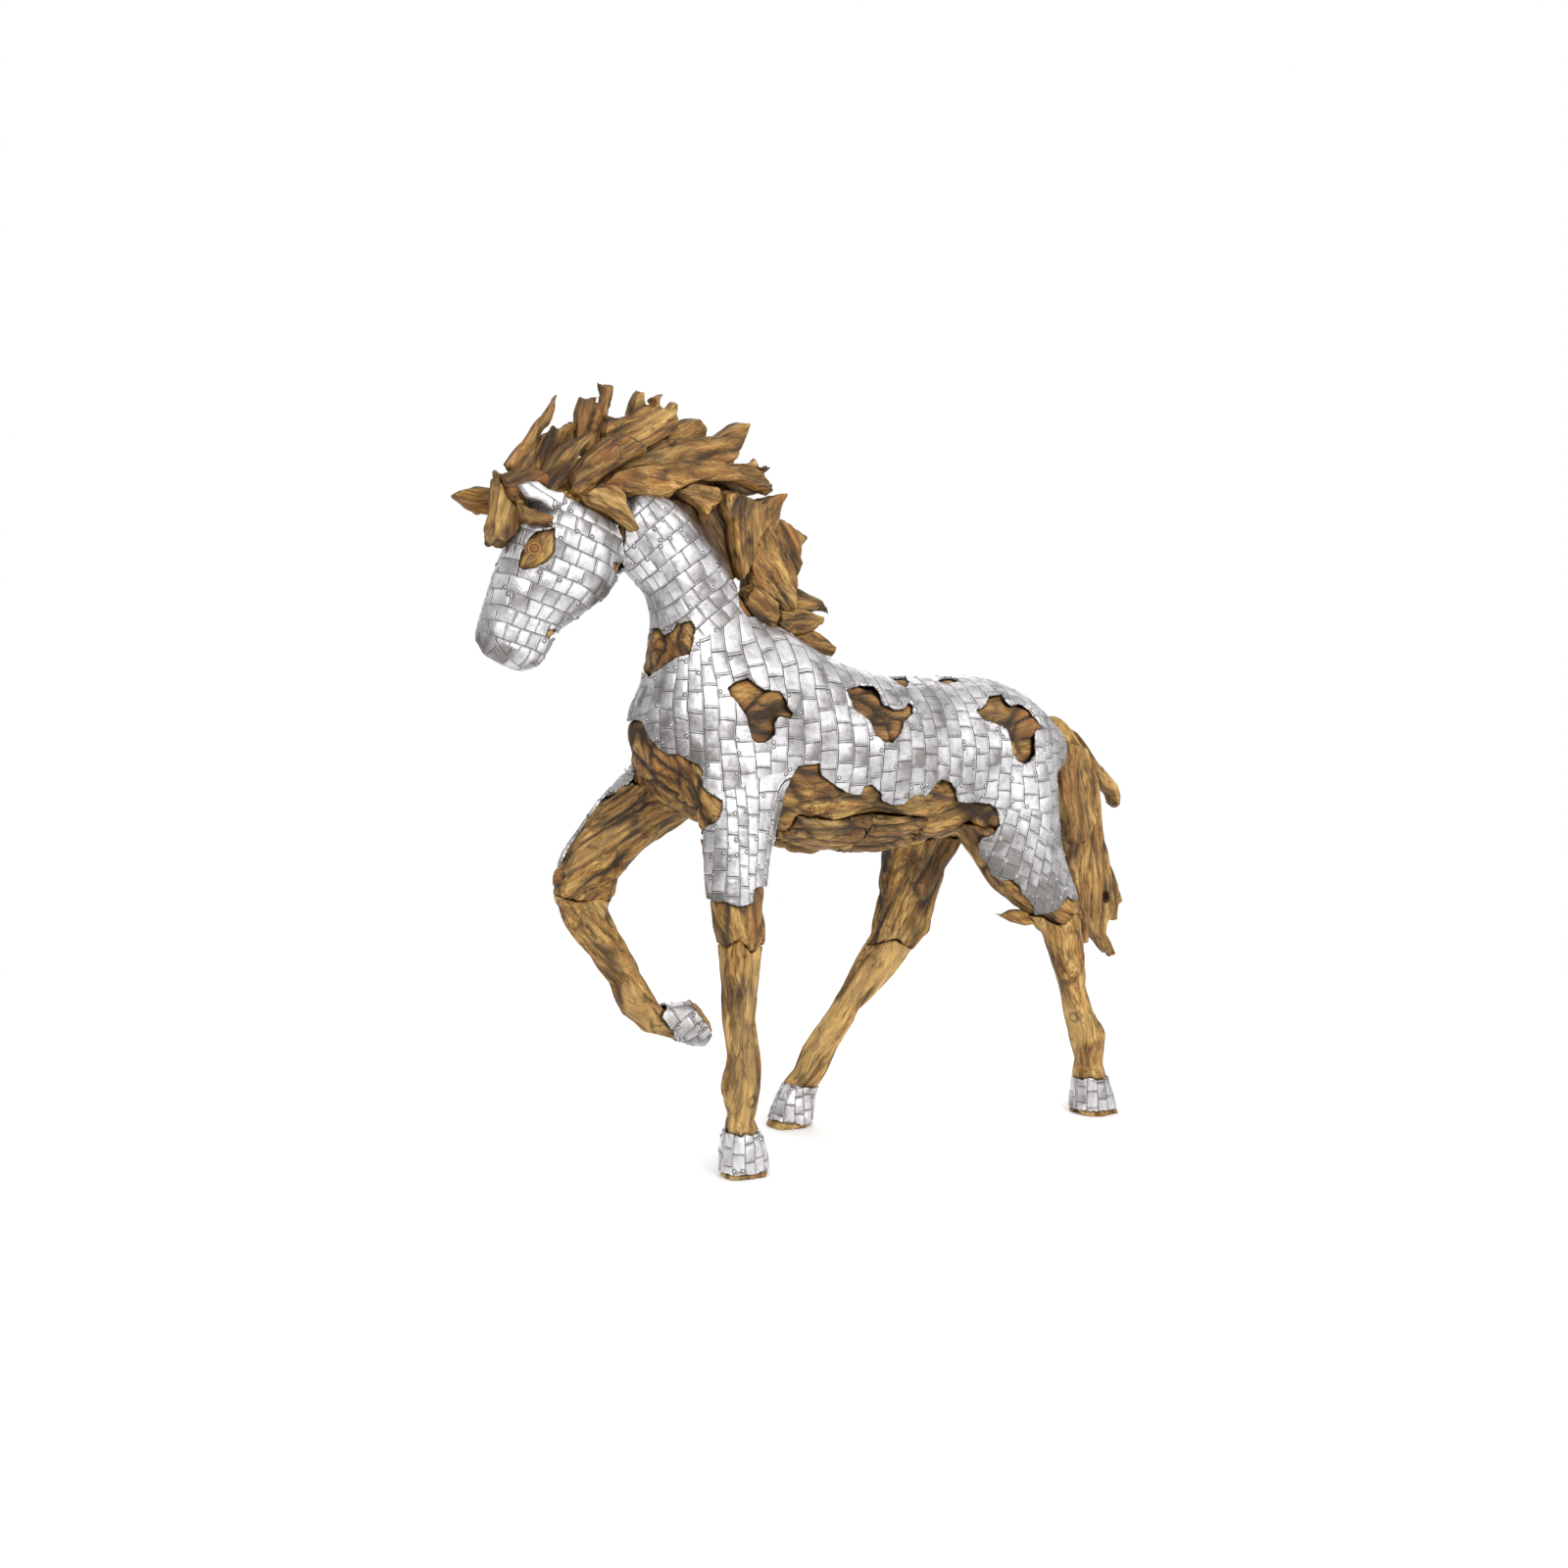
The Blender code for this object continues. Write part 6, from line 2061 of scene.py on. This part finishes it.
@dataclass
class Horse:
    """The whole horse: wooden skins, sheets of tiles, nails and carved eyes."""

    nodes: dict[str, bpy.types.Object]
    palette: Palette
    base_pitch: float = 0.0108
    base_swell: float = 0.0006
    ear_pitch: float = 0.0042
    ear_dent: float = 0.0010
    ear_waves: float = 60.0
    made: list[bpy.types.Object] = field(default_factory=list)

    def wood(self) -> None:
        """Dress every wooden node."""
        metal = {node for node in self.nodes if "cladding" in node} | {"left_ear"}
        for seed, node in enumerate(sorted(set(self.nodes) - metal)):
            slot = Slot.DARK_WOOD if node == "mane_board" else Slot.WOOD
            piece = WoodPiece(node, seed + 1, CUTS.get(node, LOCK), slot, node in CLAD)
            self.made.append(piece.build(self.nodes[node], self.palette))

    def eyes(self) -> None:
        """Carve both eyes into the head."""
        head = next(obj for obj in self.made if obj.name == "head_skin")
        for name, side in (("left_eye_carving", -1.0), ("right_eye_carving", 1.0)):
            self.made.append(CarvedEye(name, side).build(head, self.palette))

    def sheets(self) -> None:
        """Lay the metal over the joined wood and nail it down."""
        sources = [self.nodes[node] for node in CLAD]
        rough = voxelled(sources, self.base_pitch, self.base_swell)
        calm, crisp = rough.softened(20, 60), rough.softened(2, 4)
        share = ramp(-0.01, 0.03, METAL.throat.depth(rough.points))[:, None]
        base = quartered(Shell(calm.points * (1.0 - share) + crisp.points * share, rough.faces))
        plan = [
            MetalSheet("body_tiles", "body_cladding", METAL.body),
            MetalSheet("head_tiles", "head_cladding", METAL.head, Patch.HEAD),
            MetalSheet("forearm_tiles", "right_forearm_cladding", METAL.forearm_plate,
                       Patch.RIGHT_FOREARM),
        ]
        for hoof, patch in HOOF_PATCHES.items():
            name = hoof.node.replace("_cladding", "_tiles")
            plan.append(MetalSheet(name, hoof.node, hoof.metal, patch))
        nails = NailHeads()
        for sheet in plan:
            made, outer = sheet.build(base, self.palette)
            nails.gather(sheet, outer)
            self.made.append(made)
        self.made.append(nails.build(self.palette))

    def ear(self) -> None:
        """Dress the metal clad ear: a fine, hammered skin of its solid, tiled as the head is."""
        skin = voxelled([self.nodes["left_ear"]], self.ear_pitch).softened(2, 3)
        rise = self.ear_dent * layered(skin.points * self.ear_waves, 33, 2)
        points = skin.points + skin.normals() * rise[:, None]
        shell = Shell(points, skin.faces).held_in(whole_box())
        made = shell.as_object("left_ear_metal")
        places = tile_places(shell.points, np.full(len(shell.points), Patch.HEAD.value))
        give_tiles(made, places[shell.faces.reshape(-1)])
        give_value(made, "edge", ramp(0.35, 0.9, 1.0 - np.abs(shell.normals() @ EAR_FACING)))
        self.made.append(finished(made, self.palette.metal, "left_ear"))

    def build(self) -> None:
        """Make everything in order."""
        self.wood()
        self.eyes()
        self.sheets()
        self.ear()


# Studio


@dataclass(frozen=True)
class Studio:
    """A pale floor, a pale backdrop, a softly mottled sky for reflections and three soft lights."""

    floor_colour: Colour = (0.95, 0.95, 0.95, 1.0)
    backdrop: Colour = (1.0, 1.0, 1.0, 1.0)
    sky_stops: tuple[tuple[float, Colour], ...] = (
        (0.0, (0.66, 0.66, 0.66, 1.0)), (0.42, (0.42, 0.42, 0.42, 1.0)),
        (0.62, (0.84, 0.84, 0.84, 1.0)), (1.0, (1.06, 1.06, 1.06, 1.0)))
    floor_half: float = 4.2
    floor_roughness: float = 0.85
    floor_gloss: float = 0.1
    mottle: float = 0.7
    aim: tuple[float, float, float] = (0.0, 0.0, 1.0)
    # Name, place, side in metres and power in watts of each lamp.
    lamps: tuple[tuple[str, tuple[float, float, float], float, float], ...] = (
        ("key_light", (-1.2, -4.4, 3.5), 4.0, 150.0),
        ("fill_light", (2.6, -4.2, 2.0), 4.0, 55.0),
        ("back_light", (1.5, 3.5, 3.6), 3.0, 80.0))

    def sky(self) -> None:
        """Light the scene by a sky that brightens upward and is mottled by slow noise."""
        world = bpy.data.worlds.new("pale_sky")
        world.use_nodes = True
        g = Graph(world.node_tree)
        back = world.node_tree.nodes["Background"]
        toward = g.add("ShaderNodeTexCoord").outputs["Generated"]
        parts = g.add("ShaderNodeSeparateXYZ")
        g.feed(parts.inputs[0], toward)
        level = g.math("MULTIPLY_ADD", parts.outputs[2], 0.5, 0.5)
        cloud = g.math("SUBTRACT", g.noise(toward, 1.6), 0.5)
        level = g.math("MULTIPLY_ADD", cloud, self.mottle, level)
        sky = g.ramp(level, self.sky_stops)
        g.feed(back.inputs[0], g.mix(g.add("ShaderNodeLightPath").outputs[0], sky, self.backdrop))
        bpy.context.scene.world = world

    def floor(self) -> None:
        """Lay the floor, a square plane at the horse's feet."""
        mesh = bpy.data.meshes.new("floor")
        s = self.floor_half
        mesh.from_pydata([(-s, -s, 0.0), (s, -s, 0.0), (s, s, 0.0), (-s, s, 0.0)], [],
                         [(0, 1, 2, 3)])
        floor = bpy.data.objects.new("floor", mesh)
        bpy.context.scene.collection.objects.link(floor)
        material = bpy.data.materials.new("pale_floor")
        material.use_nodes = True
        shader = material.node_tree.nodes["Principled BSDF"]
        shader.inputs["Base Color"].default_value = self.floor_colour
        shader.inputs["Roughness"].default_value = self.floor_roughness
        shader.inputs["Specular IOR Level"].default_value = self.floor_gloss
        mesh.materials.append(material)
        floor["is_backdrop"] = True

    def light(self, name: str, place: tuple[float, float, float], size: float,
              watts: float) -> None:
        """Hang one square lamp that faces the horse.

        Args:
            name: the lamp's name.
            place: where it hangs.
            size: its side.
            watts: its power.
        """
        data = bpy.data.lights.new(name, "AREA")
        data.size = size
        data.energy = watts
        lamp = bpy.data.objects.new(name, data)
        lamp.location = place
        toward = Vector(self.aim) - Vector(place)
        lamp.rotation_euler = toward.to_track_quat("-Z", "Y").to_euler()
        bpy.context.scene.collection.objects.link(lamp)

    def build(self) -> None:
        """Set the sky, the floor and the lamps."""
        self.sky()
        self.floor()
        for lamp in self.lamps:
            self.light(*lamp)
        bpy.context.scene.view_settings.view_transform = "Standard"
        bpy.context.scene.view_settings.look = "None"


def main() -> None:
    """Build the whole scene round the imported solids."""
    logging.basicConfig(level=logging.INFO, format="%(message)s")
    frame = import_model()
    CAMERA.build()
    Studio().build()
    Horse(dict(frame["nodes"]), Palette()).build()


if __name__ == "__main__":
    main()
